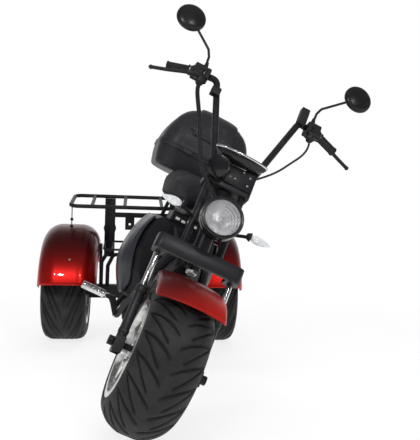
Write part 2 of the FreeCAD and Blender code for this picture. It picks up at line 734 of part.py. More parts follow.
def main_frame():
    low = BRIDGE_HIGH + HEAD_TUBE_GAP
    high = TOP_CLAMP_S - TOP_CLAMP_HEIGHT / 2 - HEAD_TUBE_GAP
    head = rod(steer_axis_at(low), steer_axis_at(high), HEAD_TUBE_RADIUS)
    backbone = bent_tube([
        steer_axis_at(high - 60.0), Vector(0, station(1.0), BACKBONE_Z),
        mast_top() + Vector(0, 55.0, 0),
    ], 60.0, BACKBONE_RADIUS)
    tube = down_tube(DOWN_TUBE_RADIUS)
    mast = rod(mast_top(), lean_axis_at(MAST_Y), MAST_RADIUS)
    rail = rod(mast_top() + Vector(0, 50.0, 0), Vector(0, CARRIER_Y + 26.0, carrier_top() - 4.0), RAIL_RADIUS)
    plate = make_box(
        -CARRIER_HALF, CARRIER_HALF, CARRIER_Y - 8.0, CARRIER_Y - 8.0 + CARRIER_DEPTH,
        carrier_top() - CARRIER_THICKNESS, carrier_top(),
    )
    plate = plate.makeFillet(12.0, upright_edges(plate))
    rail = rail.cut(make_box(
        -CARRIER_HALF, CARRIER_HALF, CARRIER_Y - CARRIER_DEPTH, CARRIER_Y + CARRIER_DEPTH,
        carrier_top(), carrier_top() + CARRIER_DEPTH,
    ))
    housing_rear = PIVOT_MID_Y - 28.0
    housing_front = PIVOT_FRONT_Y - 12.0
    housing = rod(lean_axis_at(housing_rear), lean_axis_at(housing_front), PIVOT_HOUSING_RADIUS)
    shaft_hole = rod(
        lean_axis_at(housing_rear + 1.0), lean_axis_at(PIVOT_FRONT_Y - 2.0),
        PIVOT_SHAFT_RADIUS + RUNNING_FIT,
    )
    bar_y = station(SEAT_BAR_STATION)
    seat_bar = rod(
        Vector(-SEAT_BAR_HALF, bar_y, SEAT_BAR_Z), Vector(SEAT_BAR_HALF, bar_y, SEAT_BAR_Z),
        SEAT_BAR_RADIUS,
    )
    pieces = [head, backbone, tube, mirror_x(tube), mast, rail, plate, housing, seat_bar]
    for side in (-1, 1):
        end = Vector(side * (SEAT_BAR_HALF - SEAT_BAR_RADIUS), bar_y, SEAT_BAR_Z)
        foot = Vector(end.x, bar_y, HULL_TOP_Z + SEAT_GAP)
        pieces.append(rod(foot, end, SEAT_BAR_RADIUS))
    pieces += seat_hinge_knuckle()
    head_bore = rod(steer_axis_at(low), steer_axis_at(high), STEM_RADIUS + RUNNING_FIT)
    return fuse_all(pieces).cut(head_bore).cut(shaft_hole)


def carrier_top():
    return CASE_LOW_Z - SEAT_GAP


SEAT_LOW_Z = BACKBONE_Z + BACKBONE_RADIUS + SEAT_GAP
SEAT_FRONT_Y = station(SEAT_SECTIONS[0][0])
SEAT_HINGE = Vector(0, SEAT_FRONT_Y - HINGE_RADIUS - HINGE_GAP, SEAT_LOW_Z + HINGE_RADIUS - HINGE_GAP)
LID_HINGE = Vector(0, CASE_FRONT_Y - CASE_RIM - HINGE_RADIUS - HINGE_GAP, CASE_SEAM_Z)


def seat_hinge_knuckle():
    """The pin at the seat's front edge and the block that holds it on the backbone."""
    reach = Vector(24.0, 0, 0)
    block = make_box(
        -18.0, 18.0, SEAT_HINGE.y - HINGE_RADIUS, SEAT_HINGE.y + HINGE_RADIUS,
        BACKBONE_Z + BACKBONE_RADIUS * 0.6, SEAT_HINGE.z,
    )
    return [rod(SEAT_HINGE - reach, SEAT_HINGE + reach, HINGE_RADIUS), block]


def hull_outline(section, inset, grow):
    """A boat-like cross-section with bulging sides and a flat top."""
    share, *points = section
    y = station(share)
    right = [Vector(half - inset + grow, y, z) for half, z in points]
    right[0].z -= grow
    right.append(Vector(points[-1][0] - 20.0 - inset + grow, y, HULL_TOP_Z + grow))
    return mirrored_ring(right, HULL_CORNER)


def hull_form(inset, grow):
    """The leaning body's hull; inset narrows it evenly, grow adds a clearance all round."""
    return smooth_loft([hull_outline(section, inset, grow) for section in HULL_SECTIONS])


def battery_hull():
    """The dark core between the side covers, with its belly and its narrow nose."""
    rear = station(HULL_SECTIONS[0][0])
    above_floor = make_box(-300.0, 300.0, BODY_FRONT_Y, rear, HULL_FLOOR_Z, HULL_TOP_Z + 10.0)
    core = hull_form(COVER_WALL, 0.0).common(above_floor)
    belly = smooth_loft([
        box_outline(half, low, HULL_FLOOR_Z + 12.0, station(share), 14.0)
        for half, low, share in BELLY_SECTIONS
    ])
    nose = smooth_loft([
        box_outline(half, low, high, station(share), 16.0)
        for half, low, high, share in HULL_NOSE_SECTIONS
    ])
    return fuse_all([core, belly, nose])


def side_covers():
    """Curved side panels that bulge from the belly up to the seat."""
    skin = hull_form(0.0, 0.0).cut(hull_form(COVER_WALL, SEAT_GAP))
    outline = [Vector(0, station(share), min(z, COVER_HIGH_Z)) for share, z in COVER_OUTLINE]
    panel = polygon_face(outline).extrude(Vector(260.0, 0, 0))
    panel.translate(Vector(COVER_WALL * 4, 0, 0))
    return both_sides(skin.common(panel))


def nose_panel():
    """A bowed panel that fills the space between the two tubes of the nose."""
    top = Vector(0, -WHEELBASE + 252.0 - NOSE_BULGE, 540.0)
    slope = Vector(0, 33.0, -140.0)
    axis_high = top + Vector(0, NOSE_RADIUS, 0) - slope
    axis_low = top + Vector(0, NOSE_RADIUS, 0) + slope * 2
    shell = rod(axis_high, axis_low, NOSE_RADIUS).cut(rod(axis_high, axis_low, NOSE_RADIUS - NOSE_WALL))
    front = top.y - 60.0
    outline = polygon_face([
        Vector(-88.0, front, NOSE_LOW_Z), Vector(88.0, front, NOSE_LOW_Z),
        Vector(90.0, front, 470.0), Vector(62.0, front, NOSE_HIGH_Z),
        Vector(-62.0, front, NOSE_HIGH_Z), Vector(-90.0, front, 470.0),
    ]).extrude(Vector(0, 130.0, 0))
    tube = down_tube(DOWN_TUBE_RADIUS + SEAT_GAP)
    return shell.common(outline).cut(tube).cut(mirror_x(tube))


def controller_box():
    """The power controller between the hull's top and the backbone."""
    low = HULL_TOP_Z + SEAT_GAP
    case = rounded_box(
        CONTROLLER_RIGHT, CONTROLLER_LEFT, station(0.65), station(0.42),
        low, low + CONTROLLER_HEIGHT, 5.0,
    )
    plugs = [
        make_box(x, x + 18.0, station(0.65) - 12.0, station(0.65) + 4.0, low + 10.0, low + 30.0)
        for x in (-62.0, -34.0, 18.0)
    ]
    return fuse_all([case] + plugs)


def case_form(grow):
    """The top case's whole rounded body; grow swells it evenly."""
    half = CASE_HALF + grow
    depth = (CASE_REAR_Y - CASE_FRONT_Y) / 2 + grow
    height = CASE_TOP_Z - CASE_LOW_Z
    wires = []
    for rise, share in CASE_LEVELS:
        wire = box_outline(half * share, -depth * share, depth * share, 0.0, CASE_CORNER * share)
        wire.rotate(ORIGIN, SIDEWAYS, -90)
        wire.translate(Vector(0, (CASE_FRONT_Y + CASE_REAR_Y) / 2, CASE_LOW_Z + height * rise))
        wires.append(wire)
    return smooth_loft(wires)


def level_slice(shape, low, high):
    return shape.common(make_box(-CASE_HALF * 2, CASE_HALF * 2, -CASE_HALF * 3, CASE_HALF * 3, low, high))


def case_base():
    """The tray of the top case, with its rim and the pin of the lid's hinge."""
    seam = CASE_SEAM_Z - SEAT_GAP
    tray = level_slice(case_form(0.0), CASE_LOW_Z - CASE_WALL, seam)
    rim = level_slice(case_form(CASE_RIM), seam - CASE_RIM_HEIGHT, seam)
    block_back = CASE_FRONT_Y
    blocks = []
    for side in (-1, 1):
        x = side * CASE_HALF * 0.4
        blocks.append(rod(LID_HINGE + Vector(x - 26.0, 0, 0), LID_HINGE + Vector(x + 26.0, 0, 0), HINGE_RADIUS))
        blocks.append(make_box(
            x - 22.0, x + 22.0, LID_HINGE.y - HINGE_RADIUS, block_back,
            seam - CASE_RIM_HEIGHT, seam - SEAT_GAP,
        ))
    hollow = level_slice(case_form(-CASE_WALL), CASE_LOW_Z + CASE_WALL, CASE_SEAM_Z + CASE_RIM_HEIGHT)
    return fuse_all([tray, rim] + blocks).cut(hollow)


def case_lid():
    """The domed lid of the top case, with its rim and the raised panel over its middle."""
    seam = CASE_SEAM_Z + SEAT_GAP
    dome = level_slice(case_form(0.0), seam, CASE_TOP_Z)
    rim = level_slice(case_form(CASE_RIM), seam, seam + CASE_RIM_HEIGHT)
    panel = level_slice(case_form(CASE_PANEL), CASE_PANEL_LOW_Z, CASE_TOP_Z)
    panel = panel.common(make_box(
        -CASE_PANEL_HALF, CASE_PANEL_HALF, -CASE_HALF * 3, CASE_HALF * 3, CASE_PANEL_LOW_Z, CASE_TOP_Z,
    ))
    hollow = case_form(-CASE_WALL)
    hollow.translate(Vector(0, 0, -CASE_WALL))
    return fuse_all([dome, rim, panel]).cut(hollow)


def seat():
    """A saddle with a flat base pan that rises towards its rear."""
    wires = []
    for share, low_half, wide_half, top_half, wide_z, top_z in SEAT_SECTIONS:
        y = station(share)
        wires.append(mirrored_ring([
            Vector(low_half, y, SEAT_LOW_Z), Vector(wide_half, y, wide_z),
            Vector(top_half, y, top_z - 13.0), Vector(top_half * 0.5, y, top_z),
        ], SEAT_CORNER))
    return smooth_loft(wires)


def peg_pivot(side):
    return Vector(side * PEG_PIVOT_X, station(PEG_STATION), PEG_Z)


def peg(side):
    """A foot peg with the flat eye on which it folds up."""
    pivot = peg_pivot(side)
    half = Vector(0, PEG_EYE_HALF, 0)
    eye = rod(pivot - half, pivot + half, PEG_EYE_RADIUS)
    root = pivot + Vector(side * (PEG_EYE_RADIUS + 8.0), 0, 0)
    neck = make_box(
        min(pivot.x, root.x), max(pivot.x, root.x), pivot.y - PEG_EYE_HALF, pivot.y + PEG_EYE_HALF,
        pivot.z - PEG_EYE_RADIUS + 1.0, pivot.z + PEG_EYE_RADIUS - 1.0,
    )
    grip = rod(root, pivot + Vector(side * PEG_LENGTH, 0, 0), PEG_RADIUS)
    rings = [
        rod(root + Vector(side * along, 0, 0), root + Vector(side * (along + 4.0), 0, 0), PEG_RADIUS + 1.5)
        for along in (4.0, 18.0, 32.0, 46.0, 60.0, 74.0)
    ]
    pin_hole = rod(pivot - half, pivot + half, HINGE_RADIUS + RUNNING_FIT)
    return fuse_all([eye, neck, grip] + rings).cut(pin_hole)


def peg_brackets():
    """Arms from the frame's lower tubes out to the forks that hold the pegs."""
    inner = DOWN_TUBE_BELLY[1][0] + DOWN_TUBE_RADIUS + SEAT_GAP
    pivot = peg_pivot(1)
    ear_out = PEG_EYE_HALF + SEAT_GAP + PEG_EAR_WALL
    arm_end = pivot.x - PEG_EYE_RADIUS - SEAT_GAP
    arm = polygon_face([
        Vector(inner, pivot.y - ear_out, 190.0), Vector(inner, pivot.y - ear_out, 222.0),
        Vector(arm_end - 22.0, pivot.y - ear_out, pivot.z + 9.0),
        Vector(arm_end, pivot.y - ear_out, pivot.z + 9.0),
        Vector(arm_end, pivot.y - ear_out, pivot.z - 12.0),
        Vector(arm_end - 10.0, pivot.y - ear_out, pivot.z - 22.0),
    ]).extrude(Vector(0, ear_out * 2, 0))
    pieces = [arm]
    for near in (PEG_EYE_HALF + SEAT_GAP, -ear_out):
        start = pivot + Vector(0, near, 0)
        pieces.append(rod(start, start + Vector(0, PEG_EAR_WALL, 0), PEG_EYE_RADIUS))
        pieces.append(make_box(
            arm_end - 4.0, pivot.x, start.y, start.y + PEG_EAR_WALL,
            pivot.z - PEG_EYE_RADIUS, pivot.z + PEG_EYE_RADIUS,
        ))
    reach = Vector(0, ear_out, 0)
    pieces.append(rod(pivot - reach, pivot + reach, HINGE_RADIUS))
    return both_sides(fuse_all(pieces))


# Steering, in fork coordinates
def at_both_legs(half, low, high, radius):
    return compound([rod(fork_point(x, 0, low), fork_point(x, 0, high), radius) for x in (-half, half)])


def fork_bridge():
    """The cast bridge over the wheel: an upturned trough with the steering stem through it."""
    block = make_box(-BRIDGE_HALF, BRIDGE_HALF, -BRIDGE_FRONT, BRIDGE_BACK, BRIDGE_LOW, BRIDGE_HIGH)
    block = block.makeFillet(BRIDGE_CORNER, upright_edges(block))
    pocket = make_box(
        -BRIDGE_POCKET_HALF, BRIDGE_POCKET_HALF, -BRIDGE_FRONT + BRIDGE_WALL, BRIDGE_BACK + 1.0,
        BRIDGE_LOW - 1.0, BRIDGE_HIGH - BRIDGE_WEB,
    )
    legs = at_both_legs(LEG_HALF, BRIDGE_LOW - 1.0, BRIDGE_HIGH + 1.0, STANCHION_RADIUS + SEAT_GAP)
    foot = fork_point(0, -STEER_OFFSET, BRIDGE_LOW - STEM_NUT_HEIGHT)
    top = fork_point(0, -STEER_OFFSET, TOP_CLAMP_S + 20.0)
    stem = rod(foot, top, STEM_RADIUS)
    boss = rod(
        fork_point(0, -STEER_OFFSET, BRIDGE_LOW), fork_point(0, -STEER_OFFSET, BRIDGE_HIGH), STEM_BOSS_RADIUS,
    )
    corners = [
        foot + Vector(STEM_NUT_RADIUS * math.cos(turn), STEM_NUT_RADIUS * math.sin(turn), 0)
        for turn in (math.radians(60.0 * index) for index in range(6))
    ]
    nut = polygon_face(corners).extrude(Vector(0, 0, STEM_NUT_HEIGHT))
    return fuse_all([block.cut(pocket).cut(legs), boss, stem, nut])


def top_clamp():
    """The upper plate of the fork with the two posts that hold the handlebar."""
    block = make_box(
        -UPPER_TUBE_HALF - 22.0, UPPER_TUBE_HALF + 22.0, -TOP_CLAMP_FRONT, STEER_OFFSET + 26.0,
        TOP_CLAMP_S - TOP_CLAMP_HEIGHT / 2, TOP_CLAMP_S + TOP_CLAMP_HEIGHT / 2,
    )
    block = block.makeFillet(9.0, upright_edges(block))
    posts = [
        make_box(x - 14.0, x + 14.0, -14.0, 14.0, TOP_CLAMP_S, BAR_CLAMP_S + 10.0)
        for x in (-26.0, 26.0)
    ]
    tubes = at_both_legs(UPPER_TUBE_HALF, 0.0, BAR_CLAMP_S, UPPER_TUBE_RADIUS + SEAT_GAP)
    stem = rod(
        fork_point(0, -STEER_OFFSET, 0), fork_point(0, -STEER_OFFSET, TOP_CLAMP_S + 24.0),
        STEM_RADIUS + SEAT_GAP,
    )
    bar = rod(fork_point(-80.0, 0, BAR_CLAMP_S), fork_point(80.0, 0, BAR_CLAMP_S), BAR_RADIUS + SEAT_GAP)
    return fuse_all([block] + posts).cut(tubes).cut(stem).cut(bar)


def upper_tubes():
    return at_both_legs(
        UPPER_TUBE_HALF, BRIDGE_HIGH + SEAT_GAP, TOP_CLAMP_S + TOP_CLAMP_HEIGHT / 2 + 8.0, UPPER_TUBE_RADIUS,
    )


def stanchions():
    return at_both_legs(LEG_HALF, SLIDER_TOP - STANCHION_DEPTH, BRIDGE_HIGH + 6.0, STANCHION_RADIUS)


def sliders():
    """The fork's lower legs, each with a seal collar, a ring and the block that holds the axle."""
    pieces = []
    for x in (-LEG_HALF, LEG_HALF):
        leg = fuse_all([
            rod(fork_point(x, 0, -22.0), fork_point(x, 0, SLIDER_TOP), SLIDER_RADIUS),
            rod(fork_point(x, 0, SLIDER_TOP - COLLAR_HEIGHT), fork_point(x, 0, SLIDER_TOP), COLLAR_RADIUS),
            rod(fork_point(x, 0, 34.0), fork_point(x, 0, 46.0), SLIDER_RADIUS + 1.5),
            rounded_box(x - 15.5, x + 15.5, -26.0, 26.0, -30.0, 22.0, 4.0),
        ])
        well = rod(
            fork_point(x, 0, SLIDER_TOP - STANCHION_DEPTH - SEAT_GAP), fork_point(x, 0, SLIDER_TOP + 1.0),
            STANCHION_RADIUS + SEAT_GAP,
        )
        axle = rod(Vector(x - 60.0, 0, 0), Vector(x + 60.0, 0, 0), AXLE_RADIUS + SEAT_GAP)
        pieces.append(leg.cut(well).cut(axle))
    return compound(pieces)


def front_axle():
    reach = LEG_HALF + 26.0
    shaft = rod(Vector(-reach, 0, 0), Vector(reach, 0, 0), AXLE_RADIUS)
    nut = rod(Vector(-reach - 8.0, 0, 0), Vector(-reach + 8.0, 0, 0), 15.0)
    head = rod(Vector(reach - 8.0, 0, 0), Vector(reach + 8.0, 0, 0), 15.0)
    return fuse_all([shaft, nut, head])


def turned_solid(edges):
    """A solid turned about the headlamp's own axis from its half outline."""
    face = Part.Face(Part.Wire(edges))
    return face.revolve(fork_point(0, 0, LAMP_S), Vector(0, -1, 0), 360)


def lamp_point(radius, forward):
    return fork_point(radius, forward, LAMP_S)


def headlamp_shell():
    """The round bowl of the headlamp with its rim and the arms to the fork tubes."""
    back = LAMP_V - LAMP_DEPTH / 2
    front = LAMP_V + LAMP_DEPTH / 2
    shoulder = front - LAMP_RIM
    seat_radius = LAMP_LENS_RADIUS + SEAT_GAP
    bowl = turned_solid([
        line_edge(lamp_point(0, back), lamp_point(LAMP_RADIUS * 0.34, back)),
        arc_edge(lamp_point(LAMP_RADIUS * 0.34, back), lamp_point(LAMP_RADIUS * 0.84, back + 26.0),
                 lamp_point(LAMP_RADIUS - 3.0, shoulder)),
        line_edge(lamp_point(LAMP_RADIUS - 3.0, shoulder), lamp_point(LAMP_RADIUS, shoulder)),
        line_edge(lamp_point(LAMP_RADIUS, shoulder), lamp_point(LAMP_RADIUS, front)),
        line_edge(lamp_point(LAMP_RADIUS, front), lamp_point(seat_radius, front)),
        line_edge(lamp_point(seat_radius, front), lamp_point(seat_radius, front - LENS_DEPTH)),
        line_edge(lamp_point(seat_radius, front - LENS_DEPTH), lamp_point(LAMP_LENS_RADIUS - 4.0, front - LENS_DEPTH)),
        line_edge(lamp_point(LAMP_LENS_RADIUS - 4.0, front - LENS_DEPTH), lamp_point(22.0, front - 56.0)),
        line_edge(lamp_point(22.0, front - 56.0), lamp_point(0, front - 56.0)),
        line_edge(lamp_point(0, front - 56.0), lamp_point(0, back)),
    ])
    inner = UPPER_TUBE_HALF - 6.0
    arms = [
        rod(fork_point(x, 0, LAMP_S), fork_point(x * 0.62, back + 16.0, LAMP_S), 7.0)
        for x in (-inner, inner)
    ]
    loom_end = fork_point(*GLAND_END)
    root = fork_point(*GLAND_ROOT)
    gland = rod(loom_end + (root - loom_end).normalize() * SEAT_GAP, root, GLAND_RADIUS)
    tubes = at_both_legs(UPPER_TUBE_HALF, BRIDGE_HIGH, TOP_CLAMP_S, UPPER_TUBE_RADIUS + SEAT_GAP)
    return fuse_all([bowl, gland] + arms).cut(tubes)


def headlamp_lens():
    """A gently domed lens."""
    back = LAMP_V + LAMP_DEPTH / 2 - LENS_DEPTH + SEAT_GAP
    crown = back + LENS_DEPTH + LENS_RISE - 3.0
    ball_radius = (LAMP_LENS_RADIUS ** 2 + LENS_RISE ** 2) / (2 * LENS_RISE)
    ball = Part.makeSphere(ball_radius, lamp_point(0, crown - ball_radius))
    return rod(lamp_point(0, back), lamp_point(0, crown), LAMP_LENS_RADIUS).common(ball)


INDICATOR_S = 484.0
INDICATOR_V = 60.0
INDICATOR_IN = 128.0
INDICATOR_LENGTH = 78.0
INDICATOR_RADIUS = 16.0


def indicator_stalks():
    tubes = at_both_legs(UPPER_TUBE_HALF, BRIDGE_HIGH, TOP_CLAMP_S, UPPER_TUBE_RADIUS + SEAT_GAP)
    pieces = []
    for side in (-1, 1):
        stalk = rod(
            fork_point(side * UPPER_TUBE_HALF, 0.0, INDICATOR_S),
            fork_point(side * INDICATOR_IN, INDICATOR_V, INDICATOR_S), 6.0,
        )
        cup = Part.makeCone(
            INDICATOR_RADIUS * 0.6, INDICATOR_RADIUS, 14.0,
            fork_point(side * (INDICATOR_IN - 14.0), INDICATOR_V, INDICATOR_S), Vector(side, 0, 0),
        )
        pieces.append(fuse_all([stalk, cup]))
    return compound(pieces).cut(tubes)


def indicator_lenses():
    pieces = []
    for side in (-1, 1):
        start = fork_point(side * (INDICATOR_IN + SEAT_GAP), INDICATOR_V, INDICATOR_S)
        lens = Part.makeCone(INDICATOR_RADIUS, 5.0, INDICATOR_LENGTH, start, Vector(side, 0, 0))
        stalk_end = rod(
            fork_point(side * UPPER_TUBE_HALF, 0.0, INDICATOR_S),
            fork_point(side * INDICATOR_IN, INDICATOR_V, INDICATOR_S), 6.0 + SEAT_GAP,
        )
        pieces.append(lens.cut(stalk_end))
    return compound(pieces)


DASH_PLACE = Placement(fork_point(DASH_SIDE, DASH_V, DASH_S), Rotation(SIDEWAYS, -DASH_TILT_DEG))


def ellipse_wire(half_width, half_depth, z):
    curve = Part.Ellipse(Vector(0, 0, z), half_width, half_depth)
    return Part.Wire([curve.toShape()])


def dash_bowl(grow):
    wires = [
        ellipse_wire(DASH_HALF * share + grow, DASH_DEEP * share + grow, -depth - (grow if share < 1 else 0.0))
        for depth, share in DASH_BOWL
    ]
    return placed(smooth_loft(wires), DASH_PLACE)


def dash():
    return dash_bowl(0.0)


def dash_bezel():
    """The bright oval frame round the dash's face."""
    outer = Part.Face(ellipse_wire(DASH_HALF + 2.0, DASH_DEEP + 2.0, SEAT_GAP))
    inner = Part.Face(ellipse_wire(DASH_HALF - BEZEL_WIDTH, DASH_DEEP - BEZEL_WIDTH, SEAT_GAP))
    return placed(outer.cut(inner).extrude(Vector(0, 0, BEZEL_HEIGHT)), DASH_PLACE)


def dash_bracket():
    """The plate with a foot on the handlebar posts that carries the dash."""
    foot_v = 14.0 + SEAT_GAP
    plate = make_box(-22.0, 84.0, -30.0, -26.0, 646.0, DASH_S - 20.0)
    foot = make_box(-22.0, 40.0, -28.0, -foot_v, 664.0, 668.0)
    return fuse_all([plate, foot]).cut(dash_bowl(SEAT_GAP))


def horn():
    """A round drum on a short arm from the top clamp."""
    facing = fork_point(-0.45, 0.75, -0.48)
    back = fork_point(-50.0, 44.0, 684.0)
    drum = rod(back, back + facing * HORN_DEPTH, HORN_RADIUS)
    drum = drum.makeFillet(13.0, [drum.Edges[2]])
    arm = rod(fork_point(-50.0, TOP_CLAMP_FRONT - 6.0, TOP_CLAMP_S), back + facing * 10.0, 5.0)
    clamp = make_box(
        -UPPER_TUBE_HALF - 22.0, UPPER_TUBE_HALF + 22.0, -TOP_CLAMP_FRONT - SEAT_GAP, 0.0,
        TOP_CLAMP_S - TOP_CLAMP_HEIGHT, TOP_CLAMP_S + TOP_CLAMP_HEIGHT / 2 + SEAT_GAP,
    )
    return fuse_all([drum, arm]).cut(clamp).cut(dash_bowl(SEAT_GAP))


def bar_points(side):
    """The handlebar's corners on one side, from its clamp outwards."""
    return [
        fork_point(side * (UPPER_TUBE_HALF + 4.0), 0, BAR_CLAMP_S),
        fork_point(side * RISER_TOP[0], RISER_TOP[1], RISER_TOP[2]),
        fork_point(side * GRIP_IN[0], GRIP_IN[1], GRIP_IN[2]),
        fork_point(side * GRIP_OUT[0], GRIP_OUT[1], GRIP_OUT[2]),
    ]


def bar_sweep(radius):
    return bent_tube(list(reversed(bar_points(-1))) + bar_points(1), BAR_BEND, radius)


def handlebar():
    return bar_sweep(BAR_RADIUS)


def along_grip(side, share):
    inner, outer = bar_points(side)[2:]
    return inner + (outer - inner) * share


def bar_outer_point(side, share):
    """A point on the straight bar between the riser's top and the grip."""
    inner, outer = bar_points(side)[1:3]
    return inner + (outer - inner) * share


def grips():
    """Ribbed grips with a flange at their inner ends."""
    core = compound([rod(along_grip(side, -0.5), along_grip(side, 1.0), BAR_RADIUS + SEAT_GAP) for side in (-1, 1)])
    pieces = []
    for side in (-1, 1):
        pieces.append(fuse_all([
            rod(along_grip(side, 0.03), along_grip(side, 1.04), GRIP_RADIUS),
            rod(along_grip(side, 0.03), along_grip(side, 0.08), GRIP_RADIUS + 4.0),
            rod(along_grip(side, 0.98), along_grip(side, 1.06), GRIP_RADIUS + 2.0),
        ]))
    return compound(pieces).cut(core)


POD_LEAVE = fork_point(0, 0.5, -0.866)


def pod_stub_end(side):
    return bar_outer_point(side, 0.55) + POD_LEAVE * POD_STUB_REACH


def pod_space():
    """The room that the switch housings take, with a clearance all round."""
    pieces = []
    for side in (-1, 1):
        middle = bar_outer_point(side, 0.55)
        pieces.append(rod(bar_outer_point(side, 0.5), bar_outer_point(side, 0.94), POD_RADIUS + SEAT_GAP))
        pieces.append(rod(middle, pod_stub_end(side), POD_STUB_RADIUS + SEAT_GAP))
    return compound(pieces)


def switch_pods():
    """Switch housings with the stub where the cables leave, and two small boxes on the bar."""
    bar = bar_sweep(BAR_RADIUS + SEAT_GAP)
    pieces = []
    for side in (-1, 1):
        pod = rod(bar_outer_point(side, 0.5), bar_outer_point(side, 0.94), POD_RADIUS)
        pod = pod.makeFillet(4.0, [pod.Edges[0], pod.Edges[2]])
        stub = rod(bar_outer_point(side, 0.55), pod_stub_end(side), POD_STUB_RADIUS)
        pieces.append(fuse_all([pod, stub]))
    pieces.append(rounded_box(164.0, 198.0, 12.0, 42.0, 1040.0, 1110.0, 4.0))
    pieces.append(rounded_box(-186.0, -150.0, 8.0, 38.0, 974.0, 1006.0, 4.0))
    return compound([piece.cut(bar) for piece in pieces])


def levers():
    """Brake levers with a ball at the tip."""
    pieces = []
    for side in (-1, 1):
        tip = fork_point(side * 420.0, -50.0, 975.0)
        blade = bent_tube([
            fork_point(side * 236.0, -37.0, 1051.0), fork_point(side * 300.0, -38.0, 1030.0), tip,
        ], 60.0, 5.0)
        pieces.append(fuse_all([blade, Part.makeSphere(7.5, tip)]))
    return compound(pieces).cut(pod_space())


MIRROR_HEADS = {-1: fork_point(-366.0, -76.0, 1294.0), 1: fork_point(394.0, -76.0, 1328.0)}


def mirror_stalks():
    """Bent mirror stems with a rubber boot at the foot and a round dished head."""
    pieces = []
    for side, head in MIRROR_HEADS.items():
        base = bar_outer_point(side, 0.55) + fork_point(0, 0, POD_RADIUS - 4.0)
        neck = head + fork_point(-side * 14.0, -12.0, -10.0)
        stem = bent_tube([
            base, base + fork_point(side * 4.0, -4.0, 70.0), base + fork_point(side * 18.0, -8.0, 104.0),
            neck + fork_point(-side * 30.0, 4.0, -34.0), neck,
        ], 16.0, MIRROR_STEM_RADIUS)
        boot = Part.makeCone(13.0, MIRROR_STEM_RADIUS + 1.0, 40.0, base, fork_point(0, 0, 1))
        dish = Part.makeCone(MIRROR_RADIUS * 0.55, MIRROR_RADIUS, 15.0, head, Vector(0, 1, 0))
        band = rod(head + fork_point(0, -15.0, 0), head + fork_point(0, -20.0, 0), MIRROR_RADIUS)
        nose = Part.makeCone(MIRROR_RADIUS * 0.2, MIRROR_RADIUS * 0.55, 5.0, head + fork_point(0, 5.0, 0), Vector(0, 1, 0))
        pieces.append(fuse_all([stem, boot, dish, band, nose]))
    return compound(pieces).cut(pod_space())


def mirror_glasses():
    return compound([
        rod(head + fork_point(0, -20.0 - SEAT_GAP, 0), head + fork_point(0, -22.5, 0), MIRROR_RADIUS - 4.0)
        for head in MIRROR_HEADS.values()
    ])


def front_fender():
    """A crowned blade over the front of the wheel, with skirts and a rolled hem."""
    def section(radius, half):
        arc = arc_edge(Vector(-half, 0, radius), Vector(0, 0, radius + FRONT_FENDER_CROWN), Vector(half, 0, radius))
        base = [Vector(half, 0, radius), Vector(half, 0, radius - 30.0),
                Vector(-half, 0, radius - 30.0), Vector(-half, 0, radius)]
        return Part.Face(Part.Wire([arc] + [line_edge(a, b) for a, b in zip(base, base[1:])]))

    inner = TYRE_RADIUS + FRONT_FENDER_GAP
    outer = inner + FRONT_FENDER_WALL
    skin = section(outer, FRONT_FENDER_HALF).cut(section(inner, FRONT_FENDER_HALF - FRONT_FENDER_WALL))
    shell = skin.revolve(ORIGIN, SIDEWAYS, FRONT_FENDER_SWEEP_DEG)
    shell.rotate(ORIGIN, SIDEWAYS, FRONT_FENDER_START_DEG)
    return shell


def fender_brackets():
    """Flat arms from the fork sliders forward to the front fender's skirts."""
    inner = FRONT_FENDER_HALF - FRONT_FENDER_WALL - SEAT_GAP
    rim = TYRE_RADIUS + FRONT_FENDER_GAP
    outline = [
        Vector(inner, 12.0, 136.0), Vector(inner, 12.0, 160.0), Vector(inner, -24.0, 164.0),
        Vector(inner, -66.0, rim - 26.5), Vector(inner, -100.0, rim - 34.5), Vector(inner, -100.0, rim - 48.5),
        Vector(inner, -70.0, rim - 52.5), Vector(inner, -34.0, 140.0),
    ]
    arm = polygon_face(outline).extrude(Vector(-BRACKET_WALL, 0, 0))
    boss = rod(Vector(inner - 1.0, 0, 148.0), Vector(LEG_HALF - SLIDER_RADIUS - SEAT_GAP, 0, 148.0), 8.0)
    return both_sides(fuse_all([arm, boss]))


def loom_route():
    """The wiring loom's way from the right-hand pod down to the headlamp."""
    start = pod_stub_end(-1) + POD_LEAVE * SEAT_GAP
    return [
        start, start + POD_LEAVE * 52.0, fork_point(-214.0, 30.0, 880.0), fork_point(-186.0, 54.0, 806.0),
        fork_point(-160.0, 66.0, 730.0), fork_point(-128.0, 70.0, 656.0), fork_point(-92.0, 74.0, 600.0),
        fork_point(*GLAND_END),
    ]


def hose_route():
    """The brake hose's way from the left-hand pod down behind the bar to the top clamp."""
    start = pod_stub_end(1) + POD_LEAVE * SEAT_GAP
    return [
        start, start + POD_LEAVE * 48.0, fork_point(222.0, 6.0, 900.0), fork_point(188.0, 2.0, 846.0),
        fork_point(156.0, -12.0, 796.0), fork_point(108.0, -30.0, 750.0), fork_point(58.0, -32.0, 708.0),
        fork_point(58.0, -32.0, TOP_CLAMP_S + TOP_CLAMP_HEIGHT / 2 + SEAT_GAP),
    ]


def cable_loom():
    return cord_tube(loom_route(), CABLE_RADIUS)


def brake_hose():
    return cord_tube(hose_route(), HOSE_RADIUS)


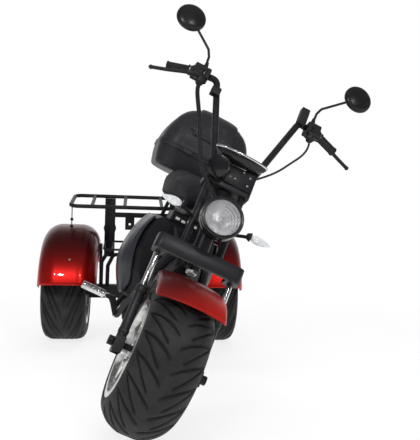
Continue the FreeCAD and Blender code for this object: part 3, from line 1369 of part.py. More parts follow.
REAR_NODES = {
    "axle_beam": axle_beam,
    "drive_casing": drive_casing,
    "pivot_tower": pivot_tower,
    "frame_arches": frame_arches,
    "rack": rack,
    "rack_uprights": rack_uprights,
    "lower_shelf": lower_shelf,
    "fender_left": make_fender,
    "fender_right": lambda: mirror_x(make_fender()),
    "fender_stays": fender_stays,
    "tail_lamps": tail_lamps,
}
BODY_NODES = {
    "main_frame": main_frame,
    "battery_hull": battery_hull,
    "side_covers": side_covers,
    "nose_panel": nose_panel,
    "controller_box": controller_box,
    "peg_brackets": peg_brackets,
    "peg_left": lambda: peg(1),
    "peg_right": lambda: peg(-1),
    "case_base": case_base,
    "case_lid": case_lid,
    "seat": seat,
}
FORK_NODES = {
    "fork_bridge": fork_bridge,
    "top_clamp": top_clamp,
    "upper_tubes": upper_tubes,
    "stanchions": stanchions,
    "sliders": sliders,
    "front_axle": front_axle,
    "headlamp_shell": headlamp_shell,
    "headlamp_lens": headlamp_lens,
    "indicator_stalks": indicator_stalks,
    "indicator_lenses": indicator_lenses,
    "dash": dash,
    "dash_bezel": dash_bezel,
    "dash_bracket": dash_bracket,
    "horn": horn,
    "handlebar": handlebar,
    "grips": grips,
    "switch_pods": switch_pods,
    "levers": levers,
    "mirror_stalks": mirror_stalks,
    "mirror_glasses": mirror_glasses,
    "front_fender": front_fender,
    "fender_brackets": fender_brackets,
    "cable_loom": cable_loom,
    "brake_hose": brake_hose,
    "front_tyre": lambda: make_tyre(FRONT_CROWN),
    "front_rim": lambda: make_rim(AXLE_RADIUS),
    "front_disc": make_disc,
}


def build_all():
    shapes = {name: placed(maker(), REAR_PLACE) for name, maker in REAR_NODES.items()}
    for side, sign in (("left", 1), ("right", -1)):
        place = Placement(Vector(sign * TRACK_HALF, 0, TYRE_RADIUS), Rotation())
        shapes["rear_tyre_" + side] = placed(make_tyre(REAR_CROWN), place)
        shapes["rear_rim_" + side] = placed(make_rim(SPINDLE_RADIUS), place)
    for name, maker in BODY_NODES.items():
        shapes[name] = placed(maker(), BODY_PLACE)
    for name, maker in FORK_NODES.items():
        shapes[name] = placed(maker(), FORK_PLACE)
    return shapes


def row_shift(shapes):
    """The move that puts the origin on the floor, under the middle of the outline."""
    box = compound(list(shapes.values())).optimalBoundingBox(False, False)
    return Placement(Vector(-box.Center.x, -box.Center.y, 0), Rotation())


os.makedirs("parts", exist_ok=True)
SHAPES = build_all()
ROW_SHIFT = row_shift(SHAPES)
for node_name, node_shape in SHAPES.items():
    placed(node_shape, ROW_SHIFT).exportStep("parts/" + node_name + ".step")
    print(node_name, len(node_shape.Solids), node_shape.isValid(), round(node_shape.Volume / 1000.0, 1))
print("loom bends", cord_bends(loom_route()), "of at least", CABLE_RADIUS * 10)
print("hose bends", cord_bends(hose_route()), "of at least", HOSE_RADIUS * 10)
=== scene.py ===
"""Looks of a tilting electric three-wheeler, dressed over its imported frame."""

import json
import logging
import math
from dataclasses import dataclass
from enum import Enum
from typing import ClassVar

import bmesh
import bpy
import numpy as np
from mathutils import Matrix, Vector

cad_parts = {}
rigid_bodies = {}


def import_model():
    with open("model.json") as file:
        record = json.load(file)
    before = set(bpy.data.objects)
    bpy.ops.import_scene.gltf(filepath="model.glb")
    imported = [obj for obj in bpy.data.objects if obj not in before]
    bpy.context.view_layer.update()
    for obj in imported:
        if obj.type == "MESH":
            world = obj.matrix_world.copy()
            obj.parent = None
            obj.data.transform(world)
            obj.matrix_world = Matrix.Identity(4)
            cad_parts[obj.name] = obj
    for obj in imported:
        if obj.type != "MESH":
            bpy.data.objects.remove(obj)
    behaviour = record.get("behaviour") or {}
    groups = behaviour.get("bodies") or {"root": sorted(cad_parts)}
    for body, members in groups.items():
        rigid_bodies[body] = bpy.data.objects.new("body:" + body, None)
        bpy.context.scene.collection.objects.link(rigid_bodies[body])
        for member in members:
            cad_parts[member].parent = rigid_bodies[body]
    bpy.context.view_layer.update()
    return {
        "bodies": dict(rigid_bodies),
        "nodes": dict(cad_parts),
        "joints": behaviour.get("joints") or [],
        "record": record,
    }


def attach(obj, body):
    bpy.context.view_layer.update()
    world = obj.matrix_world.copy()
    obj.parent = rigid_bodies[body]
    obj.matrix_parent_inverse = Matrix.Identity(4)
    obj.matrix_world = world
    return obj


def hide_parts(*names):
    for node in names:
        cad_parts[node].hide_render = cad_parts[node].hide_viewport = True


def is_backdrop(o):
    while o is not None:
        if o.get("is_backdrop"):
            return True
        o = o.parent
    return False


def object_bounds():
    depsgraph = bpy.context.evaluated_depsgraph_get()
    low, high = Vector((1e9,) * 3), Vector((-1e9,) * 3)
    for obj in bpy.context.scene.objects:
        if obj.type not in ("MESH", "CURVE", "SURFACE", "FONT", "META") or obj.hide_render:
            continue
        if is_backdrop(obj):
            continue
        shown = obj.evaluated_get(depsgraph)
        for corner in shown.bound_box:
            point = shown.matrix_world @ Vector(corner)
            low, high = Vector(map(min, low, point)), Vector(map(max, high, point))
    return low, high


LOG = logging.getLogger("three_wheeler")

WHEELBASE = 1.320
AXLE_Z = 0.2385
TRACK_HALF = 0.370
LEAN_DEG = 25.0
STEER_DEG = -2.0
RAKE_DEG = 22.0
TRAIL = 0.076
LEAN_REAR_Z = 0.350
LEAN_FRONT_Z = 0.140
BODY_REAR_Y = -0.300
BODY_FRONT_Y = -0.900
MM = 0.001
SIDES = (-1, 1)
X_AXIS, Y_AXIS, Z_AXIS = np.eye(3)


# ---------------------------------------------------------------- places
def turn_matrix(axis: np.ndarray, degrees: float) -> np.ndarray:
    """A turn about an axis by Rodrigues' formula, I + sin a K + (1 - cos a) K K.

    Args:
        axis: Direction of the axis.
        degrees: Angle of the turn.

    Returns:
        The 3 x 3 matrix.
    """
    x, y, z = np.asarray(axis, float) / np.linalg.norm(axis)
    angle = math.radians(degrees)
    cross = np.array([[0, -z, y], [z, 0, -x], [-y, x, 0]])
    return np.eye(3) + math.sin(angle) * cross + (1 - math.cos(angle)) * cross @ cross


@dataclass(frozen=True)
class Place:
    """A rigid placement: points are turned and then moved."""

    turn: np.ndarray
    move: np.ndarray

    def points(self, points: np.ndarray) -> np.ndarray:
        """Points of this place in the row frame."""
        return np.asarray(points, float) @ self.turn.T + self.move

    def after(self, first: "Place") -> "Place":
        """The place that does the given one first and then this one."""
        return Place(self.turn @ first.turn, self.turn @ first.move + self.move)


def turned_about(point: np.ndarray, axis: np.ndarray, degrees: float) -> Place:
    """A turn about an axis through a point."""
    turn = turn_matrix(axis, degrees)
    return Place(turn, point - turn @ point)


def fork_point(side: float, forward: float, up: float) -> np.ndarray:
    """A point beside, ahead of and above the front axle, measured along the fork, in metres."""
    return np.array([side, -forward, up])


def station(share: float | np.ndarray) -> float | np.ndarray:
    """How far back a share of the leaning body's length lies, 0 at its rear."""
    return BODY_REAR_Y + (BODY_FRONT_Y - BODY_REAR_Y) * share


class Pose:
    """Where the rear unit, the leaning body and the fork stand in the row frame."""

    def __init__(self, joints: list[dict]) -> None:
        """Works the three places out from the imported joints.

        Args:
            joints: The record's joints, with their packed positions.
        """
        spots = {joint["name"]: np.array(joint["pos_m"]) for joint in joints}
        middle = (spots["rear_left_spin"] + spots["rear_right_spin"]) / 2
        self.rear = Place(np.eye(3), middle - np.array([0, 0, AXLE_Z]))
        rear_end = np.array([0, 0, LEAN_REAR_Z])
        lean = turned_about(rear_end, np.array([0, -WHEELBASE, LEAN_FRONT_Z]) - rear_end, -LEAN_DEG)
        rake = math.radians(RAKE_DEG)
        fork_frame = Place(turn_matrix(X_AXIS, -RAKE_DEG), np.array([0, -WHEELBASE, AXLE_Z]))
        self.steer_offset = AXLE_Z * math.sin(rake) - TRAIL * math.cos(rake)
        steer_point = fork_frame.points(fork_point(0, -self.steer_offset, 0))
        steer = turned_about(steer_point, np.array([0, math.sin(rake), math.cos(rake)]), STEER_DEG)
        hub = self.rear.after(lean).after(steer).after(fork_frame).move
        rise = np.array([0, 0, spots["front_wheel_spin"][2] - hub[2]])
        self.body = Place(np.eye(3), self.rear.move + rise).after(lean)
        self.fork = self.body.after(steer).after(fork_frame)

    def wheel(self, side: int) -> Place:
        """The place of a rear wheel, whose axle runs along X."""
        return Place(np.eye(3), self.rear.points([side * TRACK_HALF, 0, AXLE_Z]))


# ---------------------------------------------------------------- shader maths
Colour = tuple[float, float, float]
WHITE: Colour = (1.0, 1.0, 1.0)


class Signal:
    """A number that varies over a surface: a socket with Python's arithmetic."""

    def __init__(self, net: "Net", socket: bpy.types.NodeSocket) -> None:
        """Wraps one output socket of a net."""
        self.net = net
        self.socket = socket

    def math(self, operation: str, *others: "Signal | float") -> "Signal":
        """This number and others through one Math node."""
        return self.net.math(operation, self, *others)

    def __add__(self, other: "Signal | float") -> "Signal":
        """The sum."""
        return self.math("ADD", other)

    def __sub__(self, other: "Signal | float") -> "Signal":
        """The difference."""
        return self.math("SUBTRACT", other)

    def __rsub__(self, other: float) -> "Signal":
        """The reversed difference."""
        return self.net.math("SUBTRACT", other, self)

    def __mul__(self, other: "Signal | float") -> "Signal":
        """The product."""
        return self.math("MULTIPLY", other)

    def ramp(self, low: float, high: float, start: float = 0.0, end: float = 1.0) -> "Signal":
        """A smooth step.

        Args:
            low: Where the step begins.
            high: Where it ends.
            start: The result before it.
            end: The result after it.

        Returns:
            The stepped number.
        """
        limits = {"From Min": low, "From Max": high, "To Min": start, "To Max": end}
        node = self.net.node("ShaderNodeMapRange", {"Value": self, **limits}, interpolation_type="SMOOTHSTEP")
        return Signal(self.net, node.outputs["Result"])


class Net:
    """A tree of shader nodes."""

    def __init__(self, tree: bpy.types.NodeTree) -> None:
        """Empties a tree for new nodes."""
        self.tree = tree
        self.tree.nodes.clear()

    def feed(self, socket: bpy.types.NodeSocket, value: object) -> None:
        """Gives an input its value.

        Args:
            socket: The input.
            value: A signal or socket to link, a colour, or a plain value.
        """
        if isinstance(value, Signal):
            self.tree.links.new(value.socket, socket)
        elif isinstance(value, bpy.types.NodeSocket):
            self.tree.links.new(value, socket)
        elif isinstance(value, tuple):
            socket.default_value = (*value, 1.0)
        else:
            socket.default_value = value

    def node(self, kind: str, inputs: dict | None = None, **settings: object) -> bpy.types.Node:
        """Adds a node.

        Args:
            kind: The node's type.
            inputs: Values, signals or sockets by the name or number of its inputs.
            settings: Its own settings, set first.

        Returns:
            The new node.
        """
        node = self.tree.nodes.new(kind)
        for key, value in settings.items():
            setattr(node, key, value)
        for key, value in (inputs or {}).items():
            self.feed(node.inputs[key], value)
        return node

    def math(self, operation: str, *values: "Signal | float") -> Signal:
        """One Math node on up to three values."""
        node = self.node("ShaderNodeMath", dict(enumerate(values)), operation=operation)
        return Signal(self, node.outputs[0])

    def axes(self, vector: bpy.types.NodeSocket) -> tuple[Signal, ...]:
        """The three coordinates of a vector."""
        split = self.node("ShaderNodeSeparateXYZ", {0: vector})
        return tuple(Signal(self, output) for output in split.outputs)

    def rays(self, *kinds: str) -> list[Signal]:
        """Whether a ray is of each kind, 1 or 0."""
        path = self.node("ShaderNodeLightPath")
        return [Signal(self, path.outputs["Is %s Ray" % kind]) for kind in kinds]


class Paint(Net):
    """One material's node tree round a Principled shader."""

    def __init__(self, name: str) -> None:
        """Starts an empty material with one shader and its output.

        Args:
            name: The material's name.
        """
        self.material = bpy.data.materials.new(name)
        self.material.use_nodes = True
        super().__init__(self.material.node_tree)
        self.shader = self.node("ShaderNodeBsdfPrincipled")
        self.output = self.node("ShaderNodeOutputMaterial", {"Surface": self.shader.outputs[0]})
        self.vector = self.node("ShaderNodeTexCoord").outputs["Object"]

    def texture(self, kind: str, **inputs: float) -> Signal:
        """The first output of a texture over the piece's own frame."""
        node = self.node("ShaderNodeTex" + kind, {"Vector": self.vector, **inputs})
        return Signal(self, node.outputs[0])

    def noise(self, scale: float, detail: float = 2.0) -> Signal:
        """Soft noise from 0 to 1."""
        return self.texture("Noise", Scale=scale, Detail=detail)

    def cells(self, scale: float) -> Signal:
        """Distance to the nearest point of a scattered pattern."""
        return self.texture("Voronoi", Scale=scale)

    def mix(self, share: Signal, first: Colour, second: Colour) -> bpy.types.NodeSocket:
        """A colour between two, or between a colour and a colour socket."""
        colours = {"Factor": share.math("MAXIMUM", 0.0), 6: first, 7: second}
        return self.node("ShaderNodeMix", colours, data_type="RGBA").outputs[2]

    def bump(self, height: Signal, depth: float) -> None:
        """Feeds a height, scaled to a depth in metres, into the shader's normal."""
        node = self.node("ShaderNodeBump", {"Height": height, "Distance": depth, "Strength": 1.0})
        self.set(Normal=node.outputs[0])

    def set(self, **values: object) -> None:
        """Gives the shader's inputs their values; underscores stand for blanks."""
        for key, value in values.items():
            self.feed(self.shader.inputs[key.replace("_", " ")], value)


def shaded(colour: Colour, factor: float) -> Colour:
    """A colour made lighter or darker, kept under 1."""
    return tuple(min(1.0, channel * factor) for channel in colour)


# ---------------------------------------------------------------- finishes
DUST: Colour = (0.22, 0.21, 0.20)


@dataclass(frozen=True)
class Moulded:
    """Plastic, paint, rubber or metal with uneven tone, grain and a little dust or wear.

    The colour swings by `swing` over patches, the roughness by `spread`, and `grain` bumps
    per metre of depth `depth` break the shine.
    """

    name: str
    colour: Colour
    roughness: float
    metallic: float = 0.0
    grain: float = 900.0
    depth: float = 0.0001
    swing: float = 0.15
    spread: float = 0.08
    coat: float = 0.0
    dust: float = 0.0
    specular: float = 0.28

    def paint(self) -> bpy.types.Material:
        """Builds the material.

        Returns:
            The material.
        """
        paint = Paint(self.name)
        patches = paint.noise(7.0, 4.0)
        fine = paint.noise(self.grain, 2.0)
        tone = (patches * 0.7 + fine * 0.3).ramp(0.3, 0.7)
        colour = paint.mix(tone, shaded(self.colour, 1 - self.swing), shaded(self.colour, 1 + self.swing))
        if self.dust:
            settled = paint.noise(38.0, 5.0).ramp(0.52, 0.75) * self.dust
            colour = paint.mix(settled, colour, DUST)
        paint.set(
            Base_Color=colour, Metallic=self.metallic, Coat_Weight=self.coat, Coat_Roughness=0.06,
            Specular_IOR_Level=self.specular,
            Roughness=paint.noise(23.0, 3.0) * (2 * self.spread) + (self.roughness - self.spread),
        )
        paint.bump(fine, self.depth)
        return paint.material


@dataclass(frozen=True)
class GlossRed:
    """Deep red metallic lacquer with orange peel and fine flakes, and painted shade: bright red low on the panel,
    darkening upwards to near black where the top would mirror dark surroundings.
    """

    name: str
    painted_shade_from_z: float
    painted_shade_to_z: float
    # low is the painted lit red at the foot of the panel, high the painted shade at its top.
    low: Colour = (0.46, 0.006, 0.004)
    high: Colour = (0.050, 0.003, 0.005)
    metallic: float = 0.8
    coat: float = 0.35
    flake: Colour = (0.5, 0.04, 0.03)

    def paint(self) -> bpy.types.Material:
        """Builds the lacquer; its tone follows the height on the panel, as painted shade that darkens it upwards.

        Returns:
            The material.
        """
        paint = Paint(self.name)
        height = paint.axes(paint.vector)[2]
        flakes = paint.cells(1400.0)
        # Painted shade: the colour runs from the lit red to the near-black shade as the height rises.
        share = (height + paint.noise(9.0) * 0.02 - 0.01).ramp(self.painted_shade_from_z, self.painted_shade_to_z)
        colour = paint.mix(share, self.low, self.high)
        colour = paint.mix((flakes * 0.3).math("MINIMUM", 0.06), colour, self.flake)
        paint.set(
            Base_Color=colour, Metallic=self.metallic, Coat_Weight=self.coat, Coat_Roughness=0.03,
            Roughness=flakes * 0.1 + 0.30, Specular_IOR_Level=0.22,
        )
        paint.bump(paint.noise(60.0, 1.0), 0.00008)
        return paint.material


@dataclass(frozen=True)
class TyreRubber:
    """Matt rubber with a dusty bloom, and painted shade in the grooves: darker where the mesh's own "cut" attribute
    marks a groove.
    """

    name: str
    plain: Colour = (0.013, 0.013, 0.014)
    dusty: Colour = (0.024, 0.024, 0.025)
    # groove is a painted shade colour for the tread's recesses.
    groove: Colour = (0.0015, 0.0015, 0.0015)

    def paint(self) -> bpy.types.Material:
        """Builds the rubber.

        Returns:
            The material.
        """
        paint = Paint(self.name)
        bloom = paint.noise(16.0, 4.0).ramp(0.35, 0.75)
        cut = Signal(paint, paint.node("ShaderNodeAttribute", attribute_name="cut").outputs["Fac"])
        # Painted shade: the rubber darkens towards the groove colour where the tread is cut.
        colour = paint.mix(cut, paint.mix(bloom, self.plain, self.dusty), self.groove)
        paint.set(Base_Color=colour, Roughness=paint.noise(300.0) * 0.16 + 0.56, Specular_IOR_Level=0.3)
        paint.bump(paint.noise(1500.0, 3.0), 0.00025)
        return paint.material


@dataclass(frozen=True)
class BrushedAlloy:
    """Polished cast metal with fine turning lines and soft staining."""

    name: str
    colour: Colour = (0.72, 0.72, 0.71)
    roughness: float = 0.24

    def paint(self) -> bpy.types.Material:
        """Builds the metal.

        Returns:
            The material.
        """
        paint = Paint(self.name)
        stains = paint.noise(28.0, 5.0).ramp(0.35, 0.8)
        lines = paint.noise(700.0, 2.0)
        colour = paint.mix(stains, self.colour, shaded(self.colour, 0.72))
        paint.set(
            Base_Color=colour, Metallic=1.0,
            Roughness=(stains * 0.12 + lines * 0.1) + self.roughness,
        )
        paint.bump(lines, 0.00006)
        return paint.material


@dataclass(frozen=True)
class ClearLens:
    """Clear or tinted moulded plastic with a pattern of small prisms."""

    name: str
    tint: Colour
    prisms: float
    depth: float
    clear: float = 1.0

    def paint(self) -> bpy.types.Material:
        """Builds the lens.

        Returns:
            The material.
        """
        paint = Paint(self.name)
        cells = paint.cells(self.prisms)
        haze = paint.noise(60.0, 3.0)
        paint.set(
            Base_Color=paint.mix(haze.ramp(0.3, 0.8), self.tint, shaded(self.tint, 0.86)),
            Roughness=haze * 0.08 + 0.03, Transmission_Weight=self.clear, IOR=1.45,
        )
        paint.bump(cells, self.depth)
        return paint.material


@dataclass(frozen=True)
class Leather:
    """Leatherette with pebbled grain and rubbed lighter patches."""

    name: str
    colour: Colour = (0.010, 0.010, 0.012)

    def paint(self) -> bpy.types.Material:
        """Builds the leatherette.

        Returns:
            The material.
        """
        paint = Paint(self.name)
        pebbles = paint.cells(420.0)
        rubbed = paint.noise(9.0, 4.0).ramp(0.45, 0.8)
        colour = paint.mix(rubbed, self.colour, shaded(self.colour, 1.8))
        paint.set(
            Base_Color=colour, Roughness=0.72 - pebbles * 0.2 - rubbed * 0.06, Specular_IOR_Level=0.2,
        )
        paint.bump(pebbles.ramp(0.0, 0.6), 0.0004)
        return paint.material


class Finish(Enum):
    """Every finish on the vehicle."""

    POWDER_COAT = Moulded(
        "powder_coat", (0.010, 0.010, 0.012), 0.42, grain=700, depth=0.00002, dust=0.04, specular=0.22,
    )
    CASE_SHELL = Moulded("case_shell", (0.015, 0.015, 0.018), 0.46, grain=1300, depth=0.00010, dust=0.06)
    COVER_SHELL = Moulded("cover_shell", (0.018, 0.019, 0.024), 0.36, grain=1500, depth=0.00004, coat=0.15)
    HULL_PLASTIC = Moulded("hull_plastic", (0.006, 0.006, 0.008), 0.42, grain=900, depth=0.00008, specular=0.22)
    BLACK_PLASTIC = Moulded("black_plastic", (0.012, 0.012, 0.013), 0.44, grain=900, depth=0.00002)
    BLACK_GLOSS = Moulded("black_gloss", (0.009, 0.009, 0.010), 0.2, grain=500, depth=0.00002, coat=0.25)
    BLACK_CAST = Moulded("black_cast", (0.016, 0.016, 0.018), 0.40, metallic=0.2, grain=420, depth=0.00006)
    SOFT_RUBBER = Moulded("soft_rubber", (0.013, 0.013, 0.013), 0.68, grain=1600, depth=0.00015, dust=0.06)
    WHITE_PLASTIC = Moulded("white_plastic", (0.72, 0.72, 0.69), 0.40, grain=800, depth=0.00005)
    DIAL_BLACK = Moulded("dial_black", (0.008, 0.009, 0.012), 0.12, grain=300, depth=0.00001, coat=0.8)
    CHROME = BrushedAlloy("chrome", (0.78, 0.78, 0.79), 0.08)
    RIM_ALLOY = BrushedAlloy("rim_alloy", (0.74, 0.74, 0.73), 0.22)
    STEEL = BrushedAlloy("steel", (0.52, 0.51, 0.50), 0.28)
    MIRROR = BrushedAlloy("mirror", (0.86, 0.87, 0.88), 0.02)
    LAMP_DISH = Moulded("lamp_dish", (0.52, 0.52, 0.53), 0.20, metallic=0.9, grain=900, depth=0.00004, specular=0.5)
    DOME_BLACK = Moulded("dome_black", (0.009, 0.009, 0.010), 0.30, grain=40, depth=0.000001, spread=0.02)
    TYRE = TyreRubber("tyre_rubber")
    SEAT_LEATHER = Leather("seat_leather")
    # Each red's two heights bound the painted shade that darkens it upwards.
    FENDER_RED = GlossRed("fender_red", 0.34, 0.52)
    NOSE_RED = GlossRed("nose_red", 0.39, 0.50, (0.40, 0.008, 0.004), (0.030, 0.002, 0.003), 0.4, 0.12)
    LAMP_GLASS = ClearLens("lamp_glass", (0.98, 0.98, 0.99), 240.0, 0.0003)
    WINKER_GLASS = ClearLens("winker_glass", (0.86, 0.88, 0.90), 260.0, 0.0008, 0.45)
    TAIL_GLASS = ClearLens("tail_glass", (0.42, 0.012, 0.010), 180.0, 0.0008, 0.25)


class Paintshop:
    """Builds each finish once and hands it out."""

    def __init__(self) -> None:
        """Starts with no finish built."""
        self.built: dict[Finish, bpy.types.Material] = {}

    def coat(self, finish: Finish) -> bpy.types.Material:
        """The material of a finish."""
        if finish not in self.built:
            self.built[finish] = finish.value.paint()
        return self.built[finish]


SHOP = Paintshop()


# ---------------------------------------------------------------- surfaces
def unit(vectors: np.ndarray) -> np.ndarray:
    """A vector, or each row of several, at length 1."""
    return np.asarray(vectors, float) / np.linalg.norm(vectors, axis=-1, keepdims=True)


def full_turn(steps: int) -> np.ndarray:
    """Equal steps round a circle."""
    return np.linspace(0, 2 * math.pi, steps, endpoint=False)


def surface(*coordinates: np.ndarray | float) -> np.ndarray:
    """A grid of points from their coordinates, each spread over the grid where it doesn't vary."""
    return np.stack(np.broadcast_arrays(*coordinates), -1)


def grid_quads(rows: int, columns: int, wrap_rows: bool = False, wrap_columns: bool = False) -> np.ndarray:
    """Quads of a grid of points: each joins a point, its neighbours down and across, and the one beyond.

    Args:
        rows: Points along the first parameter.
        columns: Points along the second.
        wrap_rows: Whether the last row meets the first.
        wrap_columns: Whether the last column meets the first.

    Returns:
        An array of quads of point numbers.
    """
    i, j = np.meshgrid(
        np.arange(rows if wrap_rows else rows - 1), np.arange(columns if wrap_columns else columns - 1),
        indexing="ij",
    )
    below, beside = (i + 1) % rows, (j + 1) % columns
    quads = np.stack([i * columns + j, below * columns + j, below * columns + beside, i * columns + beside], -1)
    return quads.reshape(-1, 4)


def curve_through(points: np.ndarray, count: int, closed: bool = False) -> np.ndarray:
    """A Catmull-Rom curve, which passes through every point with a tangent along its neighbours' chord.

    Args:
        points: Points of any dimension, one a row.
        count: How many points the result has.
        closed: Whether the curve comes back to its start.

    Returns:
        The points of the curve.
    """
    points = np.asarray(points, float)
    total = len(points)
    spans = total if closed else total - 1
    at = np.linspace(0, spans, count, endpoint=not closed)
    index = np.minimum(at.astype(int), spans - 1)
    share = (at - index).reshape((-1,) + (1,) * (points.ndim - 1))
    if closed:
        before, start, end, after = (points[(index + step) % total] for step in (-1, 0, 1, 2))
    else:
        before, start, end, after = (points[np.clip(index + step, 0, total - 1)] for step in (-1, 0, 1, 2))
    return 0.5 * (
        2 * start + (end - before) * share + (2 * before - 5 * start + 4 * end - after) * share ** 2
        + (3 * start - before - 3 * end + after) * share ** 3
    )


@dataclass
class Shape:
    """Points and polygons of one surface, with an optional mark from 0 to 1 on each point, which the tyre rubber
    turns into painted shade in its grooves.
    """

    points: np.ndarray
    faces: list
    cut: np.ndarray | None = None

    def placed(self, place: Place) -> "Shape":
        """The shape in the row frame."""
        return Shape(place.points(self.points), self.faces, self.cut)


def joined(shapes: list[Shape]) -> Shape:
    """Several shapes as one."""
    starts = np.cumsum([0] + [len(shape.points) for shape in shapes])
    faces = [tuple(int(i) + int(start) for i in face) for shape, start in zip(shapes, starts) for face in shape.faces]
    return Shape(np.concatenate([shape.points for shape in shapes]), faces)


def sheet_shape(points: np.ndarray, wrap_rows: bool = False, wrap_columns: bool = False) -> Shape:
    """A surface from its grid of points, rows by columns by three."""
    rows, columns = points.shape[:2]
    return Shape(points.reshape(-1, 3), grid_quads(rows, columns, wrap_rows, wrap_columns).tolist())


def capped(points: np.ndarray) -> Shape:
    """A surface of closed rings, with a flat face over the first and over the last.

    Args:
        points: The rings' points, rings by corners by three.

    Returns:
        The closed surface.
    """
    rings, corners = points.shape[:2]
    shape = sheet_shape(points, False, True)
    shape.faces += [list(range(corners)), list(range((rings - 1) * corners, rings * corners))]
    return shape


def side_vectors(path: np.ndarray) -> tuple[np.ndarray, np.ndarray]:
    """Directions square to a path: its run crossed with the direction it spreads least in, and their cross.

    Args:
        path: Points of the path.

    Returns:
        The two unit vectors at each point.
    """
    run = unit(np.gradient(path, axis=0))
    flat = np.linalg.svd(path - path.mean(0))[2][-1]
    across = unit(np.cross(run, flat))
    return across, np.cross(run, across)


def tube_shape(path: np.ndarray, radius: float | np.ndarray, sides: int = 12) -> Shape:
    """A round tube: each ring is p + r (n cos a + b sin a), n and b square to the path.

    Args:
        path: Points of its middle line.
        radius: Its radius, or one for each point.
        sides: Corners of each ring.

    Returns:
        The tube, with flat ends.
    """
    across, beside = side_vectors(path)
    angle = full_turn(sides)[:, None]
    ring = across[:, None] * np.cos(angle) + beside[:, None] * np.sin(angle)
    return capped(path[:, None] + ring * np.broadcast_to(radius, len(path))[:, None, None])


def turned_shape(profile: np.ndarray, centre: np.ndarray, axis: np.ndarray, sides: int = 48) -> Shape:
    """A surface of revolution: centre + axis h + r (u cos a + v sin a) for each (r, h) of the profile.

    Args:
        profile: Radius and height pairs; a first or last radius of 0 closes the surface.
        centre: A point on the axis.
        axis: Direction of the axis.
        sides: Steps round the axis.

    Returns:
        The surface.
    """
    axis = unit(axis)
    first = unit(np.cross(axis, Z_AXIS if abs(axis[2]) < 0.9 else X_AXIS))
    second = np.cross(axis, first)
    angle = full_turn(sides)[:, None]
    radius, height = np.asarray(profile, float).T[..., None, None]
    ring = first * np.cos(angle) + second * np.sin(angle)
    return sheet_shape(np.asarray(centre) + axis * height + np.maximum(radius, 1e-6) * ring, False, True)


def block_shape(low: np.ndarray, high: np.ndarray) -> Shape:
    """A box.

    Args:
        low: Its corner with the least coordinates.
        high: The opposite corner.

    Returns:
        Its six faces.
    """
    low, high = np.asarray(low, float), np.asarray(high, float)
    corner = np.array([[i, j, k] for i in (0, 1) for j in (0, 1) for k in (0, 1)])
    faces = [[0, 1, 3, 2], [4, 6, 7, 5], [0, 4, 5, 1], [2, 3, 7, 6], [0, 2, 6, 4], [1, 5, 7, 3]]
    return Shape(low + (high - low) * corner, faces)


WASHER_PROFILE = np.array([(0, -0.2), (1.5, -0.2), (1.5, 0.15), (0, 0.15)])
HEAD_PROFILE = np.array([(0, 0.1), (1.0, 0.1), (1.0, 0.72), (0.84, 0.9), (0, 0.9)])


def hexagon_bolt(point: np.ndarray, axis: np.ndarray, radius: float) -> Shape:
    """A bolt: a washer and a six-sided head with a chamfered top, turned about its axis."""
    washer = turned_shape(WASHER_PROFILE * radius, point, axis, 20)
    return joined([washer, turned_shape(HEAD_PROFILE * radius, point, axis, 6)])


def dome_bolt(point: np.ndarray, axis: np.ndarray, radius: float) -> Shape:
    """A domed screw head: a quarter ellipse turned about its axis, with a small dimple.

    Args:
        point: Where it stands.
        axis: Where it faces.
        radius: The head's radius.

    Returns:
        The head.
    """
    angle = np.linspace(0, math.pi / 2, 7)
    dome = np.stack([np.cos(angle), np.sin(angle) * 0.55], 1)[:-1]
    profile = np.concatenate([[(0, -0.1), (1.0, -0.1)], dome, [(0.3, 0.5), (0.2, 0.3), (0, 0.3)]]) * radius
    return turned_shape(profile, point, axis, 20)


